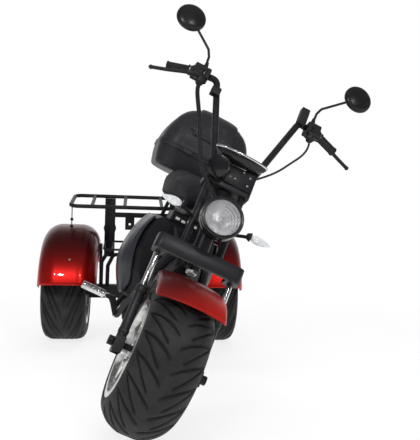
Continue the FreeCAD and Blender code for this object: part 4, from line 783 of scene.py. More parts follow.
# ---------------------------------------------------------------- workshop
@dataclass
class Workshop:
    """Turns shapes into finished pieces that ride on their bodies."""

    nodes: dict
    count: int = 0
    weld: ClassVar[float] = 2e-6
    node_weld: ClassVar[float] = 1e-5
    node_angle: ClassVar[float] = 32.0

    def add(
        self, name: str, shape: Shape, finish: Finish, body: str, slot: str,
        replaces: tuple[str, ...] = (), smooth: bool = True, bevel: float = 0.0, wall: float = 0.0,
    ) -> bpy.types.Object:
        """Makes one piece.

        Args:
            name: The piece's name.
            shape: Its surface in the row frame.
            finish: Its finish.
            body: The body it rides on.
            slot: The record's material slot it stands for.
            replaces: CAD nodes it stands for.
            smooth: Whether its faces are shaded smooth.
            bevel: Width of its rounded edges.
            wall: Thickness given to an open surface.

        Returns:
            The finished object.
        """
        mesh = bpy.data.meshes.new(name)
        mesh.from_pydata(shape.points.tolist(), [], shape.faces)
        # The cut mark rides on the mesh; the tyre rubber paints shade into the grooves from it.
        if shape.cut is not None:
            mesh.attributes.new("cut", "FLOAT", "POINT").data.foreach_set("value", shape.cut)
        net = bmesh.new()
        net.from_mesh(mesh)
        bmesh.ops.remove_doubles(net, verts=net.verts, dist=self.weld)
        bmesh.ops.recalc_face_normals(net, faces=net.faces)
        net.to_mesh(mesh)
        net.free()
        mesh.shade_smooth() if smooth else mesh.shade_flat()
        piece = bpy.data.objects.new(name, mesh)
        bpy.context.scene.collection.objects.link(piece)
        mesh.materials.append(SHOP.coat(finish))
        if wall:
            solid = piece.modifiers.new("wall", "SOLIDIFY")
            solid.thickness, solid.offset = wall, -1.0
        if bevel:
            self.soften(piece, bevel)
        return self.hand_over(piece, name, body, slot, replaces)

    def soften(self, piece: bpy.types.Object, width: float) -> bpy.types.Modifier:
        """Rounds a piece's edges.

        Args:
            piece: The piece.
            width: Width of the rounding.

        Returns:
            The modifier.
        """
        edges = piece.modifiers.new("edges", "BEVEL")
        edges.width, edges.segments, edges.limit_method = width, 2, "ANGLE"
        edges.harden_normals = True
        return edges

    def hand_over(
        self, piece: bpy.types.Object, name: str, body: str, slot: str, replaces: tuple[str, ...] = (),
    ) -> bpy.types.Object:
        """Lets a finished piece ride and hides what it stands for.

        Args:
            piece: The piece.
            name: Its name.
            body: The body it rides on.
            slot: The record's material slot it stands for; not used.
            replaces: CAD nodes it stands for.

        Returns:
            The same piece.
        """
        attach(piece, body)
        if replaces:
            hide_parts(*replaces)
        self.count += 1
        LOG.info("%s rides on %s", name, body)
        return piece

    def dress(self, finish: Finish, edge: float, *names: str) -> None:
        """Gives CAD nodes a finish, joins their loose triangles for shading and softens their edges.

        Args:
            finish: The finish.
            edge: Width of their rounded edges, 0 for none.
            names: The nodes.
        """
        for name in names:
            node = self.nodes[name]
            node.data.materials.clear()
            node.data.materials.append(SHOP.coat(finish))
            node.data.shade_smooth()
            node.modifiers.new("weld", "WELD").merge_threshold = self.node_weld
            if edge:
                self.soften(node, edge).angle_limit = math.radians(self.node_angle)
            LOG.info("%s is dressed in %s", name, finish.name)


@dataclass
class Assembly:
    """A group of pieces that are drawn in one place, and mostly ride on one body."""

    shop: Workshop
    pose: Pose
    body: ClassVar[str] = "body"
    dresses: ClassVar[tuple] = ()

    @property
    def place(self) -> Place:
        """Where its pieces are drawn: the leaning body's place, unless a group has its own."""
        return self.pose.body

    def dress(self) -> None:
        """Dresses the group's CAD nodes, each row a finish, an edge and the nodes."""
        for row in self.dresses:
            self.shop.dress(*row)

    def fit(
        self, name: str, shapes: list[Shape], finish: Finish, slot: str, *replaces: str,
        body: str = "", **options: float,
    ) -> bpy.types.Object:
        """Makes one piece of the group from shapes drawn in its place.

        Args:
            name: The piece's name.
            shapes: Its surfaces.
            finish: Its finish.
            slot: The record's material slot it stands for.
            replaces: CAD nodes it stands for.
            body: The body it rides on, unless it is the group's.
            options: What else Workshop.add takes.

        Returns:
            The finished object.
        """
        shape = joined(shapes).placed(self.place)
        return self.shop.add(name, shape, finish, body or self.body, slot, replaces, **options)


# ---------------------------------------------------------------- cords
POD_LEAVE = fork_point(0, 0.5, -0.866)
RISER_TOP = (0.178, -0.042, 1.052)
GRIP_IN = (0.284, -0.084, 1.066)
GRIP_OUT = (0.366, -0.112, 1.056)


def bar_point(side: int, share: float) -> np.ndarray:
    """A point on the straight bar between the riser's top and the grip."""
    inner, outer = fork_point(side * RISER_TOP[0], *RISER_TOP[1:]), fork_point(side * GRIP_IN[0], *GRIP_IN[1:])
    return inner + (outer - inner) * share


def grip_point(side: int, share: float) -> np.ndarray:
    """A point on the grip's axis, from its inner end."""
    inner, outer = fork_point(side * GRIP_IN[0], *GRIP_IN[1:]), fork_point(side * GRIP_OUT[0], *GRIP_OUT[1:])
    return inner + (outer - inner) * share


@dataclass
class Steered(Assembly):
    """A group that is drawn along the fork and rides on the steering."""

    body: ClassVar[str] = "steering"

    @property
    def place(self) -> Place:
        """The fork's place."""
        return self.pose.fork


@dataclass
class Cords(Steered):
    """The wiring loom in its spiral wrap, and the brake hose."""

    loom_radius: float = 0.006
    hose_radius: float = 0.004
    wrap_pitch: float = 0.011
    wrap_steps: int = 20
    ribbon: ClassVar[tuple] = ((0.0002, -0.0031), (0.0019, -0.0024), (0.0019, 0.0024), (0.0002, 0.0031))

    def route(self, side: int, straight: float, rest: list[tuple[float, float, float]]) -> np.ndarray:
        """A route out of the pod's stub, straight on, and then through points along the fork.

        Args:
            side: 1 for the rider's left, -1 for the right.
            straight: How far it runs straight out of the stub.
            rest: The points after that.

        Returns:
            The route in the row frame.
        """
        start = bar_point(side, 0.55) + POD_LEAVE * 0.0703
        points = [start, start + POD_LEAVE * straight] + [fork_point(*point) for point in rest]
        return self.place.points(points)

    def spline(self, name: str, route: np.ndarray, radius: float) -> tuple[bpy.types.Object, np.ndarray]:
        """A smooth cord along a route.

        Args:
            name: The piece's name.
            route: Control points in the row frame.
            radius: The cord's radius.

        Returns:
            The curve object and the points of its middle line.
        """
        curve = bpy.data.curves.new(name, "CURVE")
        curve.dimensions = "3D"
        run = curve.splines.new("NURBS")
        run.points.add(len(route) - 1)
        run.points.foreach_set("co", np.hstack([route, np.ones((len(route), 1))]).ravel())
        run.use_endpoint_u = True
        run.order_u = 3
        run.resolution_u = 16
        bare = bpy.data.objects.new(name + "_line", curve.copy())
        line = bpy.data.meshes.new_from_object(bare)
        path = np.zeros(len(line.vertices) * 3)
        line.vertices.foreach_get("co", path)
        bpy.data.objects.remove(bare)
        bpy.data.meshes.remove(line)
        curve.bevel_depth = radius
        curve.bevel_resolution = 4
        curve.use_fill_caps = True
        cord = bpy.data.objects.new(name, curve)
        bpy.context.scene.collection.objects.link(cord)
        return cord, path.reshape(-1, 3)

    def wrap(self, path: np.ndarray) -> Shape:
        """A flat ribbon wound round a path: p + (r + d) (n cos a + b sin a) + w t, with a growing by a turn a pitch.

        Args:
            path: The cord's middle line.

        Returns:
            The ribbon, with its ends closed.
        """
        length = np.concatenate([[0], np.cumsum(np.linalg.norm(np.diff(path, axis=0), axis=1))])
        steps = int(length[-1] / self.wrap_pitch * self.wrap_steps)
        at = np.linspace(length[-1] * 0.03, length[-1] * 0.98, steps)
        middle = np.stack([np.interp(at, length, path[:, axis]) for axis in range(3)], 1)
        run = unit(np.gradient(middle, axis=0))
        across, beside = side_vectors(middle)
        angle = (2 * math.pi * at / self.wrap_pitch)[:, None]
        outward = across * np.cos(angle) + beside * np.sin(angle)
        lift, width = np.array(self.ribbon).T[:, None, :, None]
        return capped(middle[:, None] + outward[:, None] * (self.loom_radius + lift) + run[:, None] * width)

    def build(self) -> None:
        loom_route = self.route(-1, 0.052, [
            (-0.214, 0.030, 0.880), (-0.186, 0.054, 0.806), (-0.160, 0.066, 0.730),
            (-0.128, 0.070, 0.656), (-0.092, 0.074, 0.600), (-0.048, 0.078, 0.560),
        ])
        hose_route = self.route(1, 0.048, [
            (0.222, 0.006, 0.900), (0.188, 0.002, 0.846), (0.156, -0.012, 0.796),
            (0.108, -0.030, 0.750), (0.058, -0.032, 0.708), (0.058, -0.032, 0.6533),
        ])
        for name, route, radius, node in (
            ("wiring_loom", loom_route, self.loom_radius, "cable_loom"),
            ("front_brake_hose", hose_route, self.hose_radius, "brake_hose"),
        ):
            cord, path = self.spline(name, route, radius)
            cord.data.materials.append(SHOP.coat(Finish.SOFT_RUBBER))
            self.shop.hand_over(cord, name, "steering", "rubber", (node,))
            pieces = []
            if node == "cable_loom":
                pieces = [self.shop.add("loom_wrap", self.wrap(path), Finish.BLACK_PLASTIC, "steering", "rubber")]
            2 * radius


# ---------------------------------------------------------------- wheels
@dataclass(frozen=True)
class Groove:
    """One groove of a tread pattern, repeated round the tyre.

    The sweep and its curl say how far the groove runs on round the wheel towards the side, in pitches;
    inner and outer are where it starts and ends, as shares of the tread's half width.
    """

    pitches: int
    sweep: float
    curl: float
    offset: float
    width: float
    inner: float
    outer: float


class Tread(Enum):
    """The two tread patterns: long curved rain grooves, and steep chevrons."""

    SWEEPING = (Groove(20, 1.0, 0.8, 0.0, 0.0044, 0.05, 0.98), Groove(20, 1.6, 1.5, 0.42, 0.0034, 0.26, 0.94))
    CHEVRON = (Groove(11, 1.9, 0.95, 0.0, 0.0056, 0.02, 0.94), Groove(11, 2.3, 1.1, 0.5, 0.0044, 0.18, 0.86))


@dataclass
class Wheels(Assembly):
    """The three fat tyres with their rims, hubs and brake disc."""

    radius: float = 0.2385
    rounds: int = 640
    depth: float = 0.0050
    tread_half: float = 0.105
    bead_half: float = 0.0957
    bead_fall: float = 0.0882
    front_drops: tuple = (
        (0, 0), (28, 0.4), (50, 7), (70, 17), (88, 32.5), (99, 46), (104.5, 58), (103.5, 68), (99, 76), (95.8, 79),
    )
    rear_drops: tuple = (
        (0, 0), (36, 0), (62, 1), (80, 6.5), (94, 15.5), (103, 31), (107, 46), (106, 62), (101, 74), (95.8, 79),
    )
    valve_profile: tuple = (
        (0, 0), (0.0045, 0), (0.0035, 0.012), (0.0030, 0.024), (0.0038, 0.024), (0.0038, 0.034), (0, 0.034),
    )
    dresses: ClassVar[tuple] = (
        (Finish.RIM_ALLOY, 0.0015, "front_rim", "rear_rim_left", "rear_rim_right"),
        (Finish.STEEL, 0.0004, "front_disc"),
    )

    def cuts(self, tread: Tread, turn: np.ndarray, half: np.ndarray) -> np.ndarray:
        """How deep the tread is cut, from 0 to 1.

        Each groove is the line where a saw-tooth of the wheel's turn, less a sweep that grows with
        the distance from the middle, passes one half; the two sides are half a pitch apart.

        Args:
            tread: The pattern.
            turn: Angle round the wheel, as a column.
            half: Signed distance from the middle plane, as a row.

        Returns:
            The depth at each place of the grid.
        """
        wide = np.abs(half) / self.tread_half
        other = np.where(half > 0, 0.5, 0.0)
        cut = np.zeros(np.broadcast_shapes(turn.shape, half.shape))
        for groove in tread.value:
            phase = turn * groove.pitches / (2 * math.pi) + groove.sweep * wide ** groove.curl + groove.offset + other
            pitch = 2 * math.pi * self.radius / groove.pitches
            slope = math.cos(math.atan2(groove.sweep * pitch, self.tread_half))
            away = np.abs(phase % 1 - 0.5) * pitch * slope
            live = np.clip((wide - groove.inner) / 0.05, 0, 1) * np.clip((groove.outer - wide) / 0.05, 0, 1)
            share = np.clip(1.5 - away / groove.width, 0, 1)
            cut = np.maximum(cut, share * share * (3 - 2 * share) * live)
        return cut

    def tyre(self, drops: tuple, tread: Tread) -> Shape:
        """A tyre about the X axis: its profile is turned round, and the tread is cut into its radius.

        Args:
            drops: Half width and fall below the crown, in mm, from the middle to the bead.
            tread: The pattern.

        Returns:
            The closed surface.
        """
        side = curve_through(np.array(drops) * MM, 46)
        bead = self.bead_half * np.array([1, 1, -1, -1])
        half = np.concatenate([-side[::-1, 0], side[1:, 0], bead])[None, :]
        fall = np.concatenate([side[::-1, 1], side[1:, 1], np.full(4, self.bead_fall)])[None, :]
        turn = full_turn(self.rounds)[:, None]
        rings = 0.0007 * np.sin((fall - 0.060) / 0.0032 * math.pi) * (fall > 0.060) * (fall < 0.0765)
        cut = self.cuts(tread, turn, half) * np.clip((0.062 - fall) / 0.02, 0, 1)
        radius = self.radius - fall - cut * self.depth
        points = surface(half + rings * np.sign(half), -radius * np.sin(turn), radius * np.cos(turn))
        shape = sheet_shape(points, True, True)
        # The cut depth also goes on the mesh, where the rubber paints shade into the grooves.
        shape.cut = cut.ravel()
        return shape

    def hub_bolts(self, count: int = 5, ring: float = 0.045) -> Shape:
        """Circles of bolt heads on both faces of a hub.

        Args:
            count: Bolts on a face.
            ring: Radius of their circle.

        Returns:
            The bolts.
        """
        bolts = []
        for side in (1, -1):
            for turn in full_turn(count):
                spot = np.array([side * 0.089, ring * math.sin(turn), ring * math.cos(turn)])
                bolts.append(hexagon_bolt(spot, side * X_AXIS, 0.0065))
        return joined(bolts)

    def valve(self) -> Shape:
        """A valve stem that leans out of the rim: a tapered tube with a cap."""
        return turned_shape(self.valve_profile, np.array([-0.070, 0, 0.1495]), np.array([-0.5, 0, -0.86]), 16)

    def build(self) -> None:
        """Makes the tyres and adds their bolts and valves."""
        front, rear = (self.front_drops, Tread.SWEEPING), (self.rear_drops, Tread.CHEVRON)
        wheels = (
            ("front", "front_wheel", self.pose.fork, *front, "front_tyre"),
            ("rear_left", "rear_wheel_left", self.pose.wheel(1), *rear, "rear_tyre_left"),
            ("rear_right", "rear_wheel_right", self.pose.wheel(-1), *rear, "rear_tyre_right"),
        )
        for name, body, place, drops, tread, node in wheels:
            tyre = self.tyre(drops, tread).placed(place)
            self.shop.add(name + "_tread_tyre", tyre, Finish.TYRE, body, "tyre", (node,))
            bolts = self.hub_bolts().placed(place)
            self.shop.add(name + "_hub_bolts", bolts, Finish.STEEL, body, "alloy", smooth=False)
            self.shop.add(name + "_valve", self.valve().placed(place), Finish.SOFT_RUBBER, body, "rubber")


# ---------------------------------------------------------------- rear unit
@dataclass
class RearUnit(Assembly):
    """The upright rear end: its frame, rack, fenders, drive and lamps."""

    fender_radius: float = 0.3415
    fender_z: float = 0.240
    rivet_angle: float = 56.0
    lens_radius: float = 0.0304
    lamp_spot: tuple = (0.169, 0.1053, 0.560)
    body: ClassVar[str] = "rear_unit"
    dresses: ClassVar[tuple] = (
        (
            Finish.POWDER_COAT, 0.001,
            "rack", "rack_uprights", "lower_shelf", "fender_stays", "frame_arches", "pivot_tower", "axle_beam",
        ),
        (Finish.BLACK_CAST, 0.003, "drive_casing"),
        (Finish.FENDER_RED, 0.0015, "fender_left", "fender_right"),
        (Finish.BLACK_PLASTIC, 0.001, "tail_lamps"),
    )

    @property
    def place(self) -> Place:
        """The rear unit's place."""
        return self.pose.rear

    def lamp_lens(self, side: int) -> Shape:
        """A tail lamp's ringed cover: a shallow dome whose height ripples with the radius, turned about Y.

        Args:
            side: 1 for the rider's left, -1 for the right.

        Returns:
            The cover.
        """
        radius = np.linspace(self.lens_radius, 0, 34)
        dome = 0.003 * (1 - (radius / self.lens_radius) ** 2)
        height = 0.0268 + dome + 0.0006 * np.cos(radius / 0.0038 * 2 * math.pi)
        profile = np.concatenate([[(0, 0.018), (self.lens_radius, 0.018)], np.stack([radius, height], 1)])
        return turned_shape(profile, np.array(self.lamp_spot) * [side, 1, 1], Y_AXIS, 56)

    def build(self) -> None:
        """Adds the lamp covers and fasteners."""
        covers = [self.lamp_lens(side) for side in SIDES]
        self.fit("tail_lamp_covers", covers, Finish.TAIL_GLASS, "lens_red")
        angle = math.radians(self.rivet_angle)
        outward = np.array([0, -math.sin(angle), math.cos(angle)])
        rivets = [
            dome_bolt(np.array([x, 0, self.fender_z]) + outward * (self.fender_radius - 0.0005), outward, 0.0055)
            for x in (-0.335, 0.335)
        ]
        self.fit("fender_rivets", rivets, Finish.STEEL, "steel")
        bolts = [
            hexagon_bolt(np.array([side * 0.169, 0.1050, z]), Y_AXIS, 0.006)
            for side in SIDES for z in (0.632, 0.698, 0.430)
        ]
        bolts += [
            hexagon_bolt(np.array([side * 0.06, -0.0310, z]), -Y_AXIS, 0.007)
            for side in SIDES for z in (0.232, 0.262)
        ]
        self.fit("rack_bolts", bolts, Finish.STEEL, "steel", smooth=False)


# ---------------------------------------------------------------- leaning body
@dataclass
class Hull(Assembly):
    """The hull's side covers and nose ribs, over the frame and the battery's hull."""

    hull_shares: tuple = (0.075, 0.25, 0.567, 0.733)
    hull_halves: tuple = (
        (44, 92, 138, 158, 150, 128), (60, 120, 168, 186, 173, 144),
        (60, 124, 176, 194, 181, 150), (40, 72, 118, 148, 154, 142),
    )
    hull_heights: tuple = (
        (310, 360, 424, 480, 566, 632), (240, 300, 384, 458, 560, 632),
        (232, 291, 376, 452, 556, 632), (300, 352, 408, 500, 572, 632),
    )
    cover_low: tuple = (
        (0.087, 560), (0.094, 470), (0.12, 388), (0.18, 330), (0.25, 298), (0.40, 286), (0.567, 290),
        (0.65, 328), (0.69, 372), (0.703, 420),
    )
    cover_ends: tuple = (0.088, 0.702)
    cover_top: float = 637.0
    length_mm: float = 600.0
    dresses: ClassVar[tuple] = (
        (Finish.POWDER_COAT, 0.001, "main_frame", "peg_brackets"),
        (Finish.HULL_PLASTIC, 0.004, "battery_hull"),
        (Finish.BLACK_GLOSS, 0.001, "nose_panel"),
    )

    def cover(self, side: int) -> Shape:
        """A side cover: the hull's half width over a grid of stations and heights, drawn in along its border.

        Args:
            side: 1 for the rider's left, -1 for the right.

        Returns:
            The open outer surface.
        """
        sections = np.stack([self.hull_halves, self.hull_heights], -1).astype(float)
        along = curve_through(sections, 80)
        shares = curve_through(np.array(self.hull_shares)[:, None], 80)[:, 0]
        dense = curve_through(np.moveaxis(along, 1, 0), 70)
        first, last = self.cover_ends
        wanted = np.linspace(first, last, 110)
        rim = curve_through(np.array(self.cover_low), 200)
        low = np.interp(wanted, rim[:, 0], rim[:, 1])[:, None]
        height = low + (self.cover_top - low) * np.linspace(0, 1, 64)[None, :]
        columns = np.array([[np.interp(wanted, shares, dense[i, :, k]) for i in range(70)] for k in (0, 1)])
        half = np.array([np.interp(height[i], columns[1, :, i], columns[0, :, i]) for i in range(len(wanted))])
        ends = np.minimum(wanted - first, last - wanted)[:, None] * self.length_mm
        edge = np.minimum(np.minimum(height - low, self.cover_top - height), ends)
        bead = 1.6 * np.exp(-((edge - 20) / 3.2) ** 2)
        drawn = half + 0.6 + bead - 5.0 * (1 - np.clip(edge / 9, 0, 1)) ** 2
        return sheet_shape(surface(side * drawn, station(wanted)[:, None] * 1000, height) * MM)

    def nose_ribs(self) -> list[Shape]:
        """Upright ribs down both flanks of the hull's nose.

        Returns:
            A box for each rib.
        """
        ribs = []
        for side in SIDES:
            for share in np.linspace(0.735, 0.955, 8):
                half = np.interp(share, (0.717, 0.867, 0.983), (64, 56, 46))
                low = np.interp(share, (0.717, 0.983), (352, 424))
                high = np.interp(share, (0.717, 0.983), (618, 570))
                least, most = sorted((side * (half - 2), side * (half + 5)))
                y = station(share) * 1000
                ribs.append(block_shape(np.array([least, y - 3.5, low]) * MM, np.array([most, y + 3.5, high]) * MM))
        return ribs

    def build(self) -> None:
        """Adds the covers and ribs."""
        covers = [self.cover(side) for side in SIDES]
        self.fit("flank_covers", covers, Finish.COVER_SHELL, "black_plastic", "side_covers", wall=0.004)
        self.fit("nose_ribs", self.nose_ribs(), Finish.HULL_PLASTIC, "black_plastic", bevel=0.001)


@dataclass
class Saddle(Assembly):
    """The padded saddle with its welts and seams.

    A section is its share of the body's length and, in mm, its half widths at the bottom, at the
    widest line and at the top, and the heights of the last two.
    """

    sections: tuple = (
        (0.833, 70, 84, 60, 790, 822), (0.733, 92, 108, 84, 800, 838), (0.567, 116, 134, 104, 806, 852),
        (0.367, 128, 150, 116, 812, 868), (0.167, 126, 148, 114, 816, 878), (-0.042, 104, 124, 92, 818, 880),
    )
    low: float = 738.6
    inset: float = 5.0
    corners: int = 72
    rings: int = 90
    voxel: float = 0.006
    pressure: float = 4.0
    tension: float = 25.0
    frames: int = 20
    reach: float = 0.008
    body: ClassVar[str] = "seat"

    def form(self) -> Shape:
        """The saddle before it is filled: smooth rings of eleven corners through the stations, closed at both ends.

        Returns:
            The closed surface.
        """
        shrink = self.inset
        rows = []
        for share, low_half, wide_half, top_half, wide_z, top_z in self.sections:
            low, top = self.low + shrink, top_z - shrink
            right = [
                (0, low), (low_half - shrink, low), (wide_half - 4 - shrink, low + 16), (wide_half - shrink, wide_z),
                (top_half + 8 - shrink, top - 14), (top_half * 0.62, top - 1.5),
            ]
            ring = right + [(0, top)] + [(-half, z) for half, z in reversed(right[1:])]
            rows.append([(half, station(share) * 1000, z) for half, z in ring])
        rows = np.array(rows)
        ends = []
        for row, step in ((rows[0], -14 + shrink), (rows[-1], 14 - shrink)):
            centre = np.array([0, row[0, 1], row[:, 2].mean()])
            ends.append([
                centre + (row - centre) * scale + [0, step * share, 0] for scale, share in ((0.45, 1.0), (0.88, 0.55))
            ])
        rows = np.concatenate([ends[0], rows, ends[1][::-1]])
        outline = curve_through(np.moveaxis(rows, 1, 0), self.corners, closed=True)
        return capped(curve_through(np.moveaxis(outline, 1, 0), self.rings) * MM)

    def freeze(self, piece: bpy.types.Object) -> np.ndarray:
        """Applies a piece's modifiers.

        Args:
            piece: The piece.

        Returns:
            Its points, one a row.
        """
        graph = bpy.context.evaluated_depsgraph_get()
        mesh = bpy.data.meshes.new_from_object(piece.evaluated_get(graph), depsgraph=graph)
        material = piece.data.materials[0]
        piece.modifiers.clear()
        piece.data = mesh
        mesh.materials.clear()
        mesh.materials.append(material)
        points = np.zeros(len(mesh.vertices) * 3)
        mesh.vertices.foreach_get("co", points)
        return points.reshape(-1, 3)

    def inflate(self, piece: bpy.types.Object) -> None:
        """Fills the saddle like a cushion: an even net is blown up as cloth, with its moves capped.

        Args:
            piece: The saddle.
        """
        remesh = piece.modifiers.new("even", "REMESH")
        remesh.mode, remesh.voxel_size = "VOXEL", self.voxel
        rest = self.freeze(piece)
        settings = piece.modifiers.new("cloth", "CLOTH").settings
        settings.use_pressure = True
        settings.uniform_pressure_force = self.pressure
        settings.effector_weights.gravity = 0.0
        settings.tension_stiffness = self.tension
        for frame in range(1, self.frames + 1):
            bpy.context.scene.frame_set(frame)
        shift = self.freeze(piece) - rest
        bpy.context.scene.frame_set(1)
        far = np.linalg.norm(shift, axis=1)[:, None]
        capped_points = rest + shift * (np.minimum(far, self.reach) / np.maximum(far, 1e-9))
        piece.data.vertices.foreach_set("co", capped_points.ravel())
        piece.data.update()
        soft = piece.modifiers.new("soft", "SUBSURF")
        soft.levels = soft.render_levels = 1
        self.freeze(piece)
        piece.data.shade_smooth()

    def laid(self, piece: bpy.types.Object, path: np.ndarray, towards: np.ndarray) -> np.ndarray:
        """A path moved along a direction until it lies on a piece, and smoothed."""
        hits = [piece.ray_cast(point.tolist(), towards.tolist()) for point in path]
        down = np.array([hit[1] if hit[0] else point for hit, point in zip(hits, path)])
        return curve_through(down[::4], 90)

    def seams(self, piece: bpy.types.Object) -> None:
        """Lays a welt round the saddle's widest line and two sewn ridges along its top.

        Args:
            piece: The saddle.
        """
        table = np.array(self.sections, float)[::-1].T
        shares = np.linspace(0.80, 0.0, 60)
        wide_half, top_half, wide_z, top_z = (np.interp(shares, table[0], row) for row in table[2:])
        y = station(shares) * 1000
        seams = []
        for side in SIDES:
            for half, height, towards, radius in (
                (wide_half + 40, wide_z + 2, -side * X_AXIS, 0.0026),
                (top_half * 0.62, top_z + 60, -Z_AXIS, 0.0016),
            ):
                path = self.place.points(surface(side * half, y, height) * MM)
                seams.append(tube_shape(self.laid(piece, path, self.place.turn @ towards), radius, 8))
        self.shop.add("saddle_seams", joined(seams), Finish.SEAT_LEATHER, self.body, "leather")

    def build(self) -> None:
        """Makes the saddle, fills it and sews its welts and seams on."""
        piece = self.fit("saddle", [self.form()], Finish.SEAT_LEATHER, "leather", "seat")
        self.inflate(piece)
        self.seams(piece)


@dataclass
class TopCase(Assembly):
    """The top case's lock, latch and raised lid panel."""

    panel_half: float = 0.104
    panel_swing: tuple = (14.0, 146.0)
    panel_middle: tuple = (0.0, -0.055, 1.010)
    lock_profile: tuple = (
        (0, 0), (0.012, 0), (0.012, 0.004), (0.0095, 0.006), (0.003, 0.006), (0.002, 0.0035), (0, 0.0035),
    )
    dresses: ClassVar[tuple] = ((Finish.CASE_SHELL, 0.0025, "case_base", "case_lid"),)

    def lid_panel(self) -> Shape:
        """The lid's raised field: a grid laid on the lid by rays towards its middle, and lifted inside its border.

        Returns:
            The open surface, in the row frame.
        """
        across = np.linspace(-self.panel_half, self.panel_half, 27)[:, None]
        swing = np.radians(np.linspace(*self.panel_swing, 60))[None, :]
        towards = surface(0 * across, -np.cos(swing), np.sin(swing))
        start = np.array(self.panel_middle) + towards * 0.4
        start[..., 0] += across
        rays = -towards @ self.place.turn.T
        starts, ways = self.place.points(start).reshape(-1, 3), rays.reshape(-1, 3)
        lid = self.shop.nodes["case_lid"]
        hits = [lid.ray_cast(point.tolist(), ray.tolist())[1] for point, ray in zip(starts, ways)]
        ends = 0.17 * np.minimum(swing - swing[0, 0], swing[0, -1] - swing)
        border = np.minimum(self.panel_half - np.abs(across), ends)
        rise = 0.0125 * np.clip(border / 0.009, 0, 1) ** 0.6 - 0.0025
        return sheet_shape(np.array(hits).reshape(rays.shape) - rise[..., None] * rays)

    def build(self) -> None:
        """Adds the lock, the lid's panel and the latch."""
        lock = turned_shape(self.lock_profile, np.array([0, 0.1445, 0.940]), Y_AXIS, 32)
        self.fit("case_lock", [lock], Finish.CHROME, "chrome")
        self.shop.add("lid_panel", self.lid_panel(), Finish.CASE_SHELL, "case_lid", "black_plastic")
        latch = block_shape([-0.040, 0.1400, 0.950], [0.040, 0.1560, 0.974])
        self.fit("case_latch", [latch], Finish.BLACK_GLOSS, "black_gloss", bevel=0.004)


@dataclass
class Controller(Assembly):
    """The controller's cooling fins and pale connectors."""

    low: float = 0.6463
    ends: tuple = (0.42, 0.65)
    plugs: tuple = ((-0.060, 0.014), (-0.034, 0.012), (0.018, 0.013), (-0.010, 0.020))
    dresses: ClassVar[tuple] = ((Finish.BLACK_CAST, 0.0015, "controller_box"),)

    def build(self) -> None:
        """Adds the fins and connectors."""
        back, front = (station(share) for share in self.ends)
        low = self.low
        fins = [
            block_shape([x - 0.0012, front + 0.010, low + 0.040], [x + 0.0012, back - 0.010, low + 0.047])
            for x in np.linspace(-0.066, 0.054, 13)
        ]
        self.fit("controller_fins", fins, Finish.BLACK_CAST, "black_plastic")
        plugs = [
            block_shape([x, front - 0.019, low + z], [x + 0.017, front - 0.010, low + z + 0.011])
            for x, z in self.plugs
        ]
        self.fit("controller_plugs", plugs, Finish.WHITE_PLASTIC, "black_plastic", bevel=0.001, smooth=False)


@dataclass
class FootPegs(Assembly):
    """The two folding foot pegs' ringed sleeves."""

    radius: float = 0.0150
    crest: float = 0.0162
    dresses: ClassVar[tuple] = ((Finish.CHROME, 0.001, "peg_left", "peg_right"),)

    def sleeve(self, side: int) -> Shape:
        """A sleeve with eleven rings, turned about the peg.

        Args:
            side: 1 for the rider's left, -1 for the right.

        Returns:
            The sleeve.
        """
        profile = [(0, 0.022)]
        for middle in np.linspace(0.028, 0.108, 11):
            profile += [
                (self.radius, middle - 0.003), (self.crest, middle - 0.0018),
                (self.crest, middle + 0.0018), (self.radius, middle + 0.003),
            ]
        profile += [(self.radius, 0.1145), (0, 0.1145)]
        return turned_shape(profile, np.array([side * 0.160, station(0.583), 0.258]), side * X_AXIS, 32)

    def build(self) -> None:
        """Adds a sleeve to each peg."""
        for side, peg in ((-1, "peg_right"), (1, "peg_left")):
            self.fit(peg + "_sleeve", [self.sleeve(side)], Finish.CHROME, "alloy", body=peg)


